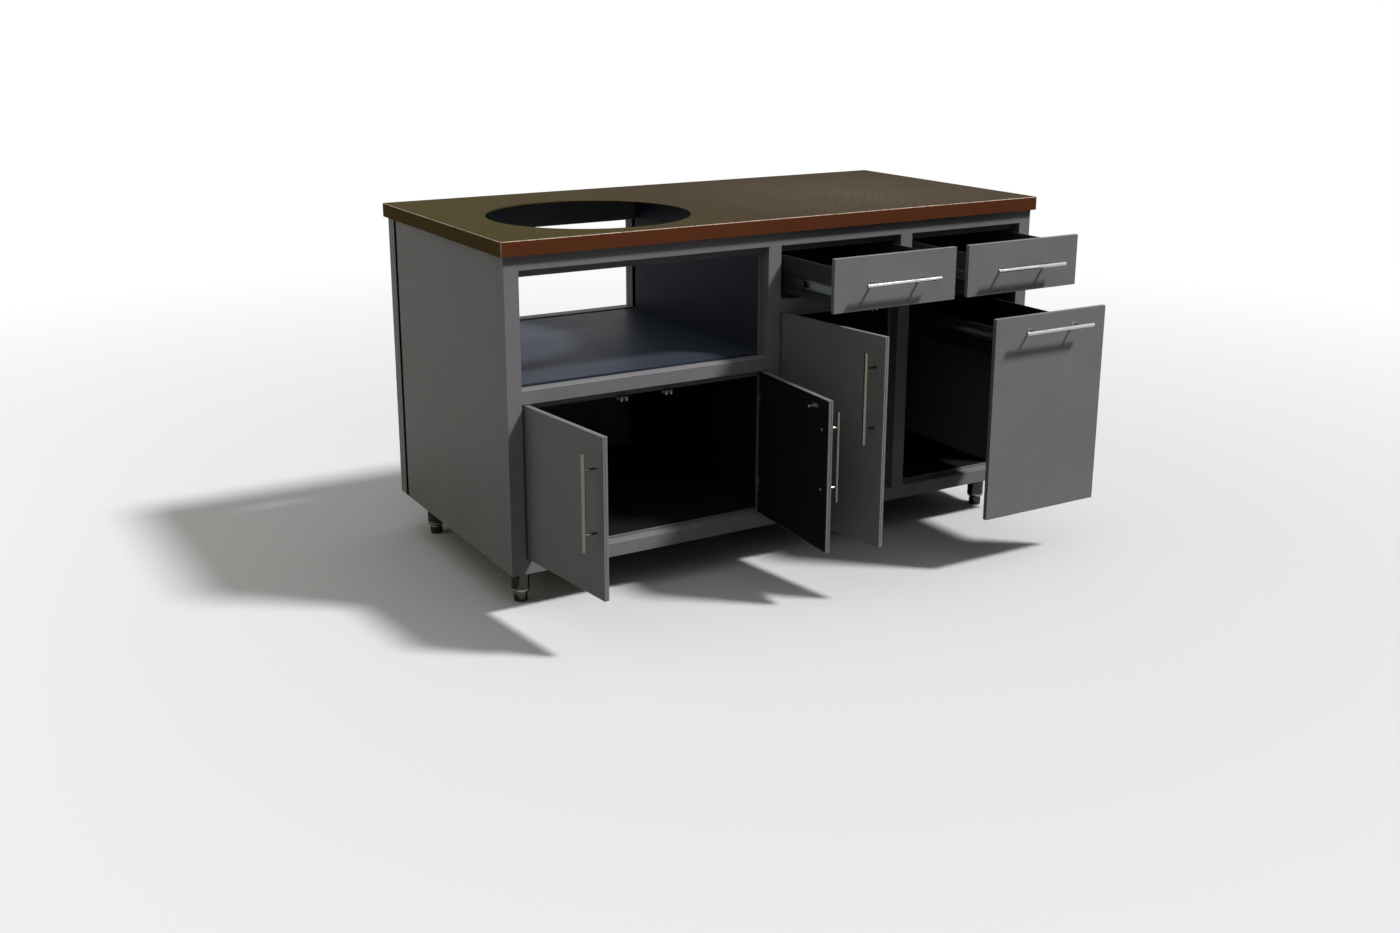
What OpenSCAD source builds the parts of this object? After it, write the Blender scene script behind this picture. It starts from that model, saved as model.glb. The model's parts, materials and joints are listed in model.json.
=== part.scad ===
// Outdoor kitchen island: a powder coated steel cabinet on four levelling legs, with a folded counter
// that has a round cut-out for a ceramic grill, an open niche below it, a two door cupboard, a single
// door cupboard, two shallow drawers and one deep pull-out drawer.
// Millimetres. X runs along the front to the right, Y to the back and Z up.
// The origin is on the floor, under the middle of the cabinet.
// The doors and drawers are drawn open, as they stand at rest.

/* [Cabinet] */
// Width of the cabinet body
cab_w = 1590; // [1450:5:1900]
// Depth of the cabinet body
cab_d = 760; // [700:5:900]
// Height of the counter surface above the floor
counter_h = 914; // [900:1:960]
// Height of the underside of the cabinet above the floor
base_z = 105; // [95:1:125]
// Width of the upright tubes of the front frame
stile_w = 38; // [34:1:44]
// Depth of the tubes of the front frame
frame_d = 36; // [34:1:42]
// Depth of the tubes of the rear frame
rear_tube = 40; // [36:1:46]
// Height of the rails between a door and what is above it
rail_h = 34; // [28:1:40]
// Height of the bottom rails
base_rail_h = 36; // [30:1:42]
// Height of the top rail that shows below the counter skirt
top_rail_show = 36; // [28:1:44]
// Wall of the frame tubes
tube_t = 2; // [1.5:0.5:3]
// Thickness of the folded steel sheets
panel_t = 1.5; // [1.2:0.1:2]
// Clear width of the niche and of the two door cupboard
niche_w = 683; // [640:1:700]
// Clear height of the niche
niche_h = 282.5; // [260:0.5:300]
// Clear width of the middle bay
mid_w = 379; // [360:1:400]
// Clear height of the drawer openings
drawer_open_h = 136.5; // [130:0.5:150]
// How far the rear top rail reaches below the front one
rear_drop = 15; // [8:1:24]
// Width of the strips behind the rear edges of the side sheets
strip_w = 20; // [12:1:30]
// Seam between a side sheet and the rear post
side_seam = 1.6; // [1:0.1:2.5]
// Depth of the rear panels, flange included
rear_panel_d = 13; // [8:1:20]
// How far the rear panels lie inside the back of the frame
rear_panel_set = 3; // [1:0.5:6]

/* [Counter] */
// Thickness of the counter sheet
sheet_t = 3; // [2:0.5:4]
// Height of the counter skirt
skirt_h = 36; // [30:1:44]
// Overhang of the counter past the sides
overhang_side = 10; // [8:1:20]
// Overhang of the counter past the front and the back
overhang_front = 13; // [8:1:20]
// Radius of the counter corners, seen from above
corner_r = 4; // [3.5:0.5:7]
// Width of the hem folded in under the skirt
hem_w = 6; // [4:0.5:7]
// Diameter of the round cut-out
cutout_d = 522; // [440:1:524]
// Middle of the cut-out, from the left side of the cabinet
cutout_x = 371; // [360:1:390]
// Middle of the cut-out, from the front of the cabinet
cutout_y = 304; // [303:1:400]
// Height of the hat channels under the counter
hat_h = 30; // [20:1:36]
// Width of the hat channels under the counter
hat_w = 60; // [40:1:80]

/* [Stops, shelf and floors] */
// Thickness of the stop bars round the openings
stop_t = 5; // [4:0.5:6]
// Height of the stop bar under the head of an opening
stop_head = 20; // [14:1:22]
// Width of the stop bars at the sides of a door opening
stop_side = 8; // [6:0.5:10]
// Height of the stop bars on the sill of an opening
stop_sill = 6; // [6:0.5:12]
// Thickness of the shelf and floor pans, flange included
pan_h = 6; // [4:0.5:8]
// Seam between the niche shelf and the rear rail
shelf_seam = 0.8; // [0.5:0.1:0.9]

/* [Doors] */
// Thickness of the doors and drawer fronts
front_t = 12; // [11:0.5:14]
// Gap round a closed door or drawer front
front_gap = 1.5; // [1.2:0.1:2.5]
// Skin of the doors and drawer fronts
skin_t = 1.2; // [1:0.1:1.6]
// Distance of a hinge pin from the side of the opening
pin_in = 9.5; // [9.5:0.1:11]
// Distance of a hinge pin behind the front of the door
pin_back = 4.5; // [4.5:0.1:5]
// Diameter of a hinge barrel
barrel_d = 6; // [5:0.1:6.4]
// Diameter of a hinge pin
pin_d = 3; // [2.5:0.1:3.5]
// Height of a hinge
hinge_h = 32; // [26:1:40]
// Distance of the middle of a hinge from the end of its door
hinge_inset = 80; // [60:1:100]
// Distance of a fixed hinge leaf behind the back of a closed door
hinge_set = 3; // [2:0.5:4]
// Distance of a catch from the free edge of its door
catch_in = 62; // [40:1:90]
// Width of a roller catch
catch_w = 24; // [22:1:40]
// Depth of a roller catch
catch_d = 20; // [20:1:26]
// Height of a roller catch
catch_h = 11; // [10:1:16]
// Diameter of a catch roller
roller_d = 6.4; // [5:0.1:6.4]
// Distance between the middles of the two rollers
roller_cc = 13.6; // [13.6:0.1:16]
// Width of a strike plate
strike_w = 25; // [20:1:32]
// Length of the tongue of a strike plate
tongue_l = 19; // [18:0.5:20]
// Thickness of the tongue of a strike plate
tongue_t = 2.4; // [2:0.1:3]
// Angle at which the left door of the pair stands open
left_open = 83.5; // [0:0.5:90]
// Angle at which the right door of the pair stands open
right_open = 86; // [0:0.5:90]
// Angle at which the middle door stands open
mid_open = 82; // [0:0.5:90]

/* [Handles] */
// Length of a handle bar
bar_l = 228; // [180:1:260]
// Diameter of a handle bar
bar_d = 10; // [9:0.5:12]
// Distance of the bar's middle line from the face behind it
bar_out = 33; // [30:1:38]
// Distance between the posts of a handle
post_cc = 150; // [128:1:160]
// Diameter of a handle post
post_d = 6; // [5.5:0.5:8]
// Distance of a door handle from the free edge of its door
handle_in = 30; // [20:1:40]
// Distance of the near end of a handle from the top of its door
handle_down = 38; // [25:1:60]
// Diameter of a handle screw
screw_d = 4; // [3.5:0.5:4]

/* [Drawers] */
// Length of the telescopic slides, which is also their travel
slide_l = 500; // [450:10:600]
// Width of a slide, between the cabinet and the drawer
slide_w = 12.7; // [12.5:0.1:13.5]
// Height of the slides of the shallow drawers
slide_h = 27; // [24:1:38]
// Height of the slides of the deep drawer
deep_slide_h = 45; // [42:1:50]
// Depth of the outer channel of a slide
slide_outer_w = 8; // [7:0.1:9]
// Reach of the middle channel of a slide from the cabinet
slide_middle_w = 10; // [9.2:0.1:10.5]
// Distance of the slides behind a closed front
slide_set = 2; // [1:0.5:4]
// Middle line of the shallow drawers' slides above the sill of their opening
slide_up = 54.5; // [45:0.5:60]
// Middle line of the deep drawer's slides below the head of its opening
deep_slide_down = 76.5; // [70:0.5:90]
// Sheet of the drawer boxes
box_t = 1.5; // [1.2:0.1:2]
// Length of a drawer box
box_l = 490; // [440:5:560]
// Height of a shallow drawer box
box_h = 95; // [80:1:96]
// Height of the bottom of a shallow drawer box above its sill
box_up = 16.5; // [14:0.5:18]
// Height of the deep drawer box
deep_box_h = 353; // [300:1:400]
// Distance of the top of the deep drawer box below the head of its opening
deep_box_down = 39.5; // [25:0.5:60]
// Width of the side channels that carry the deep drawer box
channel_w = 41; // [25:1:60]
// How far the shallow drawers stand open
drawer_out = 225; // [0:1:400]
// How far the deep drawer stands open
deep_out = 340; // [0:1:400]

/* [Legs] */
// Distance of a leg from the side of the cabinet
leg_x = 62; // [55:1:90]
// Distance of a leg from the front or the back of the cabinet
leg_y = 96; // [85:1:140]
// Diameter of a leg tube
leg_d = 46; // [40:1:50]
// Gap between the leg tube and the floor
leg_gap = 26; // [24:1:36]
// Width of the square plate on a leg
plate_w = 90; // [80:1:100]
// Thickness of the plate on a leg
plate_t = 4; // [3:0.5:5]
// Diameter of a levelling foot
foot_d = 34; // [30:1:36]
// Diameter of a levelling foot's screw
stem_d = 16; // [12:1:18]

/* [Hidden] */
$fn = 48;
// Running gap between pieces that move past each other
run = 0.3;
// Extra length of a cut past a face
eps = 1;
// Thread of the foot screw that stays inside the leg
stem_l = 48;
// Sheet of a catch and of a strike plate
catch_t = 2;
strike_t = 1.2;
// Height of a tongue and diameter of its head
tongue_h = 5;
tongue_head = 4.4;
// Steel of the slide members and of the hinge leaves
member_t = 1.2;
leaf_t = 1.2;
arm_t = 2.4;
// Depth of the hinge notch in a door, of the solid edge around it and the play above and below a hinge
notch_w = 13;
edge_w = 16;
notch_play = 1;
// Wall and taper of a leg tube
leg_t = 2;
leg_taper = 3;
// Head and depth of the handle screws
head_d = 8;
head_h = 2.4;
screw_in = 8;

xl = -cab_w / 2;
xr = cab_w / 2;
yf = -cab_d / 2;
yb = cab_d / 2;
// Edges of the three bays, left to right
nx0 = xl + stile_w;
nx1 = nx0 + niche_w;
mx0 = nx1 + stile_w;
mx1 = mx0 + mid_w;
rx0 = mx1 + stile_w;
rx1 = xr - stile_w;
// Levels, from the counter down
body_top = counter_h - sheet_t;
head_z = counter_h - skirt_h - top_rail_show;
niche_z = head_z - niche_h;
cup_z = niche_z - rail_h;
drawer_z = head_z - drawer_open_h;
door_z = drawer_z - rail_h;
sill_z = base_z + base_rail_h;
floor_z = sill_z + stop_sill;
// Planes behind the front frame and in front of the rear frame
fy = yf + frame_d;
ry = yb - rear_tube;
// Places of the stop bars, just inside the rear of the front frame
stop_y = fy - stop_t;

frame_col = "#62646a";
inner_col = "#3a3c40";
counter_col = "#6b4a34";
bright_col = "#c8cacc";
zinc_col = "#9a9ea2";
rubber_col = "#1c1c1c";

// Shapes that repeat

// A block between two corners
module block(a, b) {
    translate(a) cube(b - a);
}

// A tube between two corners, open along axis 0, 1 or 2
module tube(a, b, axis, t = tube_t) {
    open = [for (i = [0:2]) i == axis ? -eps : t];
    difference() {
        block(a, b);
        block(a + open, b - open);
    }
}

// An upside down pan between two corners: a sheet on top with four flanges below it
module pan(a, b, t = panel_t) {
    difference() {
        block(a, b);
        block(a + [t, t, -eps], b - [t, t, t]);
    }
}

// A rectangle with round corners, built from two squares and four circles
module round_rect(w, d, r) {
    square([w - 2 * r, d], center = true);
    square([w, d - 2 * r], center = true);
    for (x = [-1, 1], y = [-1, 1]) translate([x * (w / 2 - r), y * (d / 2 - r)]) circle(r);
}

// Counter

module counter_top() {
    w = cab_w + 2 * overhang_side;
    d = cab_d + 2 * overhang_front;
    t = sheet_t;
    color(counter_col) difference() {
        translate([0, 0, counter_h - skirt_h]) linear_extrude(skirt_h) round_rect(w, d, corner_r);
        translate([0, 0, counter_h - skirt_h + t])
            linear_extrude(skirt_h - 2 * t) round_rect(w - 2 * t, d - 2 * t, corner_r - t);
        translate([0, 0, counter_h - skirt_h - eps]) linear_extrude(t + 2 * eps)
            square([w - 2 * hem_w, d - 2 * hem_w], center = true);
        translate([xl + cutout_x, yf + cutout_y, counter_h - t - eps])
            cylinder(h = t + 2 * eps, d = cutout_d, $fn = 96);
    }
}

// Hat channels across the counter, over the middle and the right bay
module counter_stiffeners() {
    color(frame_col) for (x = [(mx0 + mx1) / 2, (rx0 + rx1) / 2])
        difference() {
            block([x - hat_w / 2, fy, body_top - hat_h], [x + hat_w / 2, ry, body_top]);
            block([x - hat_w / 2 + panel_t, fy - eps, body_top - hat_h + panel_t],
                [x + hat_w / 2 - panel_t, ry + eps, body_top + eps]);
        }
}

// Front frame

module front_stiles() {
    color(frame_col) {
        for (x = [xl, rx1]) tube([x, yf, base_z], [x + stile_w, fy, body_top], 2);
        for (x = [nx1, mx1]) tube([x, yf, sill_z], [x + stile_w, fy, head_z], 2);
    }
}

module front_rails() {
    color(frame_col) {
        tube([nx0, yf, head_z], [rx1, fy, body_top], 0);
        tube([nx0, yf, base_z], [rx1, fy, sill_z], 0);
    }
}

module inner_rails() {
    color(frame_col) {
        tube([nx0, yf, cup_z], [nx1, fy, niche_z], 0);
        tube([mx0, yf, door_z], [mx1, fy, drawer_z], 0);
        tube([rx0, yf, door_z], [rx1, fy, drawer_z], 0);
    }
}

// Bars behind the doors and fronts: one under each head, one on each sill and one at each side
module stop_bars() {
    color(frame_col) {
        for (bay = [[nx0, nx1, head_z], [nx0, nx1, cup_z], [mx0, mx1, head_z], [mx0, mx1, door_z],
                [rx0, rx1, head_z], [rx0, rx1, door_z]])
            block([bay[0], stop_y, bay[2] - stop_head], [bay[1], fy, bay[2]]);
        for (bay = [[nx0, nx1, sill_z], [mx0, mx1, sill_z], [rx0, rx1, sill_z], [mx0, mx1, drawer_z],
                [rx0, rx1, drawer_z]])
            block([bay[0], stop_y, bay[2]], [bay[1], fy, bay[2] + stop_sill]);
        for (bay = [[nx0, nx1, niche_z, head_z - stop_head], [nx0, nx1, floor_z, cup_z - stop_head],
                [mx0, mx1, floor_z, door_z - stop_head]], side = [0, 1]) {
            x = side == 0 ? bay[0] : bay[1] - stop_side;
            block([x, stop_y, bay[2] + run], [x + stop_side, fy, bay[3] - run]);
        }
    }
}

// Rear frame

module rear_stiles() {
    color(frame_col) {
        for (side = [-1, 1]) {
            x0 = side < 0 ? xl : rx1;
            tube([x0, ry, base_z], [x0 + stile_w, yb, body_top], 2);
            // Backing strip that carries the rear edge of the side panel
            s0 = side < 0 ? xl + panel_t : xr - panel_t - tube_t;
            block([s0, ry - strip_w, base_z], [s0 + tube_t, ry, body_top]);
        }
        tube([nx1, ry, sill_z], [mx0, yb, head_z - rear_drop], 2);
    }
}

module rear_rails() {
    color(frame_col) {
        tube([nx0, ry, head_z - rear_drop], [rx1, yb, body_top], 0);
        tube([nx0, ry, base_z], [rx1, yb, sill_z], 0);
        tube([nx0, ry, cup_z], [nx1, yb, niche_z + pan_h], 0);
    }
}

// A rear panel: a sheet with a flange all round, set into the rear frame
module rear_panel(x0, x1, z0, z1) {
    y1 = yb - rear_panel_set;
    y0 = y1 - rear_panel_d;
    color(frame_col) difference() {
        block([x0, y0, z0], [x1, y1, z1]);
        block([x0 + panel_t, y0 - eps, z0 + panel_t], [x1 - panel_t, y1 - panel_t, z1 - panel_t]);
    }
}

module rear_panel_left() {
    rear_panel(nx0, nx1, sill_z, cup_z);
}

module rear_panel_right() {
    rear_panel(mx0, rx1, sill_z, head_z - rear_drop);
}

// Sides, partitions, shelf and floors

// The outer side sheet. Its rear edge stops short of the rear post, which leaves a dark seam
module side_panel(side) {
    x0 = side < 0 ? xl : xr - panel_t;
    color(frame_col) block([x0, fy, base_z], [x0 + panel_t, ry - side_seam, body_top]);
}

module side_panel_left() {
    side_panel(-1);
}

module side_panel_right() {
    side_panel(1);
}

// The inner side sheets, flush with the openings
module side_liners() {
    color(inner_col) {
        block([nx0 - panel_t, fy, sill_z], [nx0, ry, body_top]);
        block([rx1, fy, sill_z], [rx1 + panel_t, ry, body_top]);
    }
}

// A partition: two sheets with a folded front and rear edge between them, open above and below
module partition(x0) {
    color(inner_col) tube([x0, fy, sill_z], [x0 + stile_w, ry, body_top], 2, panel_t);
}

module partition_left() {
    partition(nx1);
}

module partition_right() {
    partition(mx1);
}

module niche_shelf() {
    color(inner_col) pan([nx0, fy, niche_z], [nx1, ry - shelf_seam, niche_z + pan_h]);
}

module floor_pans() {
    color(inner_col) for (bay = [[nx0, nx1], [mx0, mx1], [rx0, rx1]])
        pan([bay[0], fy, sill_z], [bay[1], ry, sill_z + pan_h]);
}

// Base tubes, front to back: one over each pair of legs and one under each partition
module base_runners() {
    color(frame_col) for (x = [xl + leg_x - stile_w / 2, nx1, mx1, xr - leg_x - stile_w / 2])
        tube([x, fy, base_z], [x + stile_w, ry, sill_z], 1);
}

// Legs and levelling feet

// Middle of each leg: side -1 is left, end -1 is the front
function leg_at(side, end) = [side * (cab_w / 2 - leg_x), end * (cab_d / 2 - leg_y), 0];

module leg() {
    taper_h = 6;
    cap_h = 16;
    z1 = base_z - plate_t;
    translate([-plate_w / 2, -plate_w / 2, z1]) cube([plate_w, plate_w, plate_t]);
    difference() {
        union() {
            translate([0, 0, leg_gap + taper_h]) cylinder(h = z1 - leg_gap - taper_h, d = leg_d);
            translate([0, 0, leg_gap]) cylinder(h = taper_h, d1 = leg_d - 2 * leg_taper, d2 = leg_d);
        }
        translate([0, 0, leg_gap + cap_h]) cylinder(h = z1 - leg_gap - cap_h, d = leg_d - 2 * leg_t);
        translate([0, 0, leg_gap - eps]) cylinder(h = cap_h + 2 * eps, d = stem_d + 2 * run);
    }
}

module legs() {
    color(bright_col) for (side = [-1, 1], end = [-1, 1]) translate(leg_at(side, end)) leg();
}

module foot(side, end) {
    edge = 3;
    top = leg_gap - run;
    color(bright_col) translate(leg_at(side, end)) {
        cylinder(h = edge, d1 = foot_d - 2 * edge, d2 = foot_d);
        translate([0, 0, edge]) cylinder(h = top - 2 * edge, d = foot_d);
        translate([0, 0, top - edge]) cylinder(h = edge, d1 = foot_d, d2 = foot_d - edge);
        translate([0, 0, top]) cylinder(h = stem_l, d = stem_d);
    }
}

module foot_front_left() {
    foot(-1, -1);
}

module foot_front_right() {
    foot(1, -1);
}

module foot_rear_left() {
    foot(-1, 1);
}

module foot_rear_right() {
    foot(1, 1);
}

// Doors. Each is drawn closed, with its hinge on the left side of an opening that starts at X 0 and
// with its front at Y 0, then mirrored, placed and turned about its pin.

// Columns of the door table: side of the opening with the hinges, width of the leaf, top of the
// opening, open angle and 1 for hinges on the left or -1 for hinges on the right
hinge_x = 0;
leaf_width = 1;
open_z = 2;
open_angle = 3;
hand = 4;
function leaf_w(w) = w - 2 * front_gap;
pair_w = (niche_w - 3 * front_gap) / 2;
doors = [
    [nx0, pair_w, cup_z, left_open, 1],
    [nx1, pair_w, cup_z, right_open, -1],
    [mx0, leaf_w(mid_w), door_z, mid_open, 1]];
door_z0 = sill_z + front_gap;

// Puts what is drawn for a closed left hinged door at door k, turned by its open angle
module at_door(k) {
    d = doors[k];
    translate([d[hinge_x], yf, 0]) mirror([d[hand] < 0 ? 1 : 0, 0, 0])
        translate([pin_in, pin_back, 0]) rotate([0, 0, -d[open_angle]])
            translate([-pin_in, -pin_back, 0]) children();
}

// Puts the fixed half of a hinge at door k
module at_jamb(k) {
    d = doors[k];
    translate([d[hinge_x], yf, 0]) mirror([d[hand] < 0 ? 1 : 0, 0, 0]) children();
}

function door_h(k) = doors[k][open_z] - front_gap - door_z0;
function hinge_zs(k) = [door_z0 + hinge_inset, door_z0 + door_h(k) - hinge_inset];
function handle_z(k) = door_z0 + door_h(k) - handle_down - bar_l / 2;
function free_edge(k) = front_gap + doors[k][leaf_width];

// The door leaf: a hollow panel with notches for its hinges and holes for its handle screws
module door(k) {
    w = doors[k][leaf_width];
    h = door_h(k);
    color(frame_col) at_door(k) difference() {
        block([front_gap, 0, door_z0], [front_gap + w, front_t, door_z0 + h]);
        block([front_gap + edge_w, skin_t, door_z0 + skin_t],
            [front_gap + w - skin_t, front_t - skin_t, door_z0 + h - skin_t]);
        for (z = hinge_zs(k))
            block([front_gap - eps, skin_t, z - hinge_h / 2 - notch_play],
                [front_gap + notch_w, front_t + eps, z + hinge_h / 2 + notch_play]);
        for (s = [-1, 1])
            translate([free_edge(k) - handle_in, -eps, handle_z(k) + s * post_cc / 2])
                rotate([-90, 0, 0]) cylinder(h = front_t + 2 * eps, d = screw_d + 2 * run);
    }
}

// A handle along X, centred on X 0 and Z 0, on a face at Y 0 that looks towards -Y
module handle() {
    translate([-bar_l / 2, -bar_out, 0]) rotate([0, 90, 0]) cylinder(h = bar_l, d = bar_d);
    for (s = [-1, 1]) translate([s * post_cc / 2, 0, 0]) rotate([90, 0, 0]) difference() {
        cylinder(h = bar_out, d = post_d);
        translate([0, 0, -eps]) cylinder(h = screw_in + run + eps, d = screw_d + run);
    }
}

// The two screws of a handle, through a wall of the given thickness behind the face at Y 0
module handle_screws(wall) {
    for (s = [-1, 1]) translate([s * post_cc / 2, wall, 0]) rotate([90, 0, 0]) {
        cylinder(h = wall + screw_in, d = screw_d);
        translate([0, 0, -head_h]) cylinder(h = head_h, d = head_d);
    }
}

module door_handle(k) {
    color(bright_col) at_door(k) translate([free_edge(k) - handle_in, 0, handle_z(k)])
        rotate([0, 90, 0]) handle();
}

module door_screws(k) {
    color(zinc_col) at_door(k) translate([free_edge(k) - handle_in, 0, handle_z(k)])
        rotate([0, 90, 0]) handle_screws(front_t);
}

// The half of each hinge that turns with the door: an upper barrel, a web and a leaf on the notch wall
module hinge_leaves(k) {
    color(zinc_col) at_door(k) for (z = hinge_zs(k)) translate([pin_in, pin_back, z]) difference() {
        wall = front_gap + notch_w - pin_in;
        union() {
            translate([0, 0, run]) cylinder(h = hinge_h / 2 - run, d = barrel_d);
            translate([0, -arm_t / 2, run]) cube([wall, arm_t, hinge_h / 2 - run]);
            translate([wall - leaf_t, -arm_t / 2, run])
                cube([leaf_t, front_t - pin_back - arm_t / 2, hinge_h / 2 - run]);
        }
        cylinder(h = hinge_h, d = pin_d + 2 * run);
    }
}

// The fixed half of each hinge: a leaf on the side of the opening, an arm, a lower barrel and its pin
module hinge_frame_leaves() {
    y0 = front_t + hinge_set;
    color(zinc_col) for (k = [0:2]) at_jamb(k) for (z = hinge_zs(k)) {
        block([0, y0, z - hinge_h / 2], [leaf_t, stop_y - yf - run, z + hinge_h / 2]);
        block([0, y0, z - hinge_h / 2], [pin_in + arm_t / 2, y0 + arm_t, z]);
        block([pin_in - arm_t / 2, pin_back, z - hinge_h / 2], [pin_in + arm_t / 2, y0 + arm_t, z]);
        translate([pin_in, pin_back, z - hinge_h / 2]) cylinder(h = hinge_h / 2, d = barrel_d);
        translate([pin_in, pin_back, z - hinge_h / 2]) cylinder(h = hinge_h, d = pin_d);
    }
}

// A roller catch hangs under the head stop of each opening, and the tongue of its strike plate, on the
// back of the door, goes in between the two rollers
function catch_x(k) = doors[k][hinge_x] + doors[k][hand] * (free_edge(k) - catch_in);
function catch_top(k) = doors[k][open_z] - stop_head;
// Front of a catch and middle of its rollers, behind the front of a closed door
catch_y = front_t + strike_t + (tongue_l - tongue_head) / 2 - roller_d / 2;
roller_y = catch_y + roller_d / 2;

module catches() {
    color(zinc_col) for (k = [0:2]) translate([catch_x(k), yf, catch_top(k)]) {
        block([-catch_w / 2, catch_y, -catch_t], [catch_w / 2, catch_y + catch_d, 0]);
        block([-catch_w / 2, catch_y + catch_d - catch_t, -catch_h], [catch_w / 2, catch_y + catch_d, 0]);
        for (s = [-1, 1])
            translate([s * roller_cc / 2, roller_y, -catch_h]) cylinder(h = catch_h, d = roller_d);
    }
}

module strike(k) {
    z = catch_top(k) - catch_h / 2;
    head_y = strike_t + tongue_l - tongue_head / 2;
    color(bright_col) at_door(k) translate([free_edge(k) - catch_in, front_t, z]) {
        block([-strike_w / 2, 0, -catch_h / 2], [strike_w / 2, strike_t, catch_h / 2]);
        block([-tongue_t / 2, 0, -tongue_h / 2], [tongue_t / 2, head_y, tongue_h / 2]);
        translate([0, head_y, -tongue_h / 2]) cylinder(h = tongue_h, d = tongue_head);
    }
}

module door_left() {
    door(0);
}

module handle_left() {
    door_handle(0);
}

module screws_left() {
    door_screws(0);
}

module hinge_leaves_left() {
    hinge_leaves(0);
}

module strike_left() {
    strike(0);
}

module door_right() {
    door(1);
}

module handle_right() {
    door_handle(1);
}

module screws_right() {
    door_screws(1);
}

module hinge_leaves_right() {
    hinge_leaves(1);
}

module strike_right() {
    strike(1);
}

module door_mid() {
    door(2);
}

module handle_mid() {
    door_handle(2);
}

module screws_mid() {
    door_screws(2);
}

module hinge_leaves_mid() {
    hinge_leaves(2);
}

module strike_mid() {
    strike(2);
}

// Drawers

// Columns of the drawer table: edges of the opening, its sill and its head
bay_x0 = 0;
bay_x1 = 1;
bay_z0 = 2;
bay_z1 = 3;
// Height and middle line of the slides
rail_size = 4;
rail_z = 5;
// Bottom and height of the box, and width of the side channels
box_z = 6;
box_size = 7;
side_gap = 8;
// Height of the handle and how far the drawer stands open
grip_z = 9;
travel = 10;
// Gap between the front and the box, which leaves room for the heads of the handle's screws
rear_gap = 11;
deep_handle_z = door_z - front_gap - handle_down;
deep_gap = 3;
drawers = [
    [mx0, mx1, drawer_z, head_z, slide_h, drawer_z + slide_up, drawer_z + box_up, box_h, 0,
        (drawer_z + head_z) / 2, drawer_out, 0],
    [rx0, rx1, drawer_z, head_z, slide_h, drawer_z + slide_up, drawer_z + box_up, box_h, 0,
        (drawer_z + head_z) / 2, drawer_out, 0],
    [rx0, rx1, sill_z, door_z, deep_slide_h, door_z - deep_slide_down,
        door_z - deep_box_down - deep_box_h, deep_box_h, channel_w, deep_handle_z, deep_out,
        deep_gap]];
// The slides start just behind a closed front
slide_y = yf + front_t + slide_set;

// Middle of a drawer's handle, on the face of its front
function grip_at(k) =
    [(drawers[k][bay_x0] + drawers[k][bay_x1]) / 2, yf - drawers[k][travel], drawers[k][grip_z]];
function front_wall(k) = drawers[k][rear_gap] > 0 ? front_t : front_t + box_t;

module drawer_front(k) {
    d = drawers[k];
    a = [d[bay_x0] + front_gap, yf - d[travel], d[bay_z0] + front_gap];
    b = [d[bay_x1] - front_gap, yf - d[travel] + front_t, d[bay_z1] - front_gap];
    skin = [skin_t, skin_t, skin_t];
    color(frame_col) difference() {
        block(a, b);
        block(a + skin, b - skin);
        drawer_screw_holes(k);
    }
}

module drawer_screw_holes(k) {
    for (s = [-1, 1])
        translate(grip_at(k) + [s * post_cc / 2, -eps, 0])
            rotate([-90, 0, 0]) cylinder(h = front_wall(k) + 2 * eps, d = screw_d + 2 * run);
}

// The box behind a front: an open tray
module drawer_box(k) {
    d = drawers[k];
    y0 = yf - d[travel] + front_t + d[rear_gap];
    a = [d[bay_x0] + slide_w + d[side_gap], y0, d[box_z]];
    b = [d[bay_x1] - slide_w - d[side_gap], y0 + box_l, d[box_z] + d[box_size]];
    color(inner_col) difference() {
        block(a, b);
        block(a + [box_t, box_t, box_t], b + [-box_t, -box_t, eps]);
        drawer_screw_holes(k);
    }
}

// The side channels between a box and its slides
module side_channels(k) {
    d = drawers[k];
    x0 = d[bay_x0] + slide_w;
    x1 = d[bay_x1] - slide_w - d[side_gap];
    y0 = yf - d[travel] + front_t;
    z0 = d[rail_z] - d[rail_size] / 2;
    color(inner_col) for (x = [x0, x1])
        tube([x, y0, z0], [x + d[side_gap], y0 + box_l, z0 + d[rail_size]], 1, box_t);
}

module drawer_handle(k) {
    color(bright_col) translate(grip_at(k)) handle();
}

module drawer_screws(k) {
    color(zinc_col) translate(grip_at(k)) handle_screws(front_wall(k));
}

// Telescopic slides. The outer channel is on the cabinet, the inner one is on the drawer and faces
// it, and the middle one runs between them at half the drawer's travel. Width runs from 0 to slide_w.
module channel(w0, w1, h, back) {
    t = member_t;
    translate([w0, 0, -h / 2]) difference() {
        cube([w1 - w0, slide_l, h]);
        translate([back ? t : -eps, -eps, t]) cube([w1 - w0 - t + eps, slide_l + 2 * eps, h - 2 * t]);
    }
}

// Puts a slide of drawer k on both sides of its opening, moved out by the given travel
module slide_pair(k, out) {
    d = drawers[k];
    translate([d[bay_x0], slide_y - out, d[rail_z]]) children();
    translate([d[bay_x1], slide_y - out, d[rail_z]]) mirror([1, 0, 0]) children();
}

step = member_t + run;
// Gap between the web of the middle channel and the flanges of the inner one
web_gap = 1;

module slide_outers() {
    color(bright_col) for (k = [0:2])
        slide_pair(k, 0) channel(0, slide_outer_w, drawers[k][rail_size], true);
}

module slide_mid(k) {
    h = drawers[k][rail_size] - 2 * step;
    color(bright_col) slide_pair(k, drawers[k][travel] / 2) channel(step, slide_middle_w, h, true);
}

module slide_inner(k) {
    h = drawers[k][rail_size] - 4 * step;
    color(bright_col) slide_pair(k, drawers[k][travel]) channel(2 * step + web_gap, slide_w, h, false);
}

module drawer_a_front() {
    drawer_front(0);
}

module drawer_a_box() {
    drawer_box(0);
}

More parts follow.
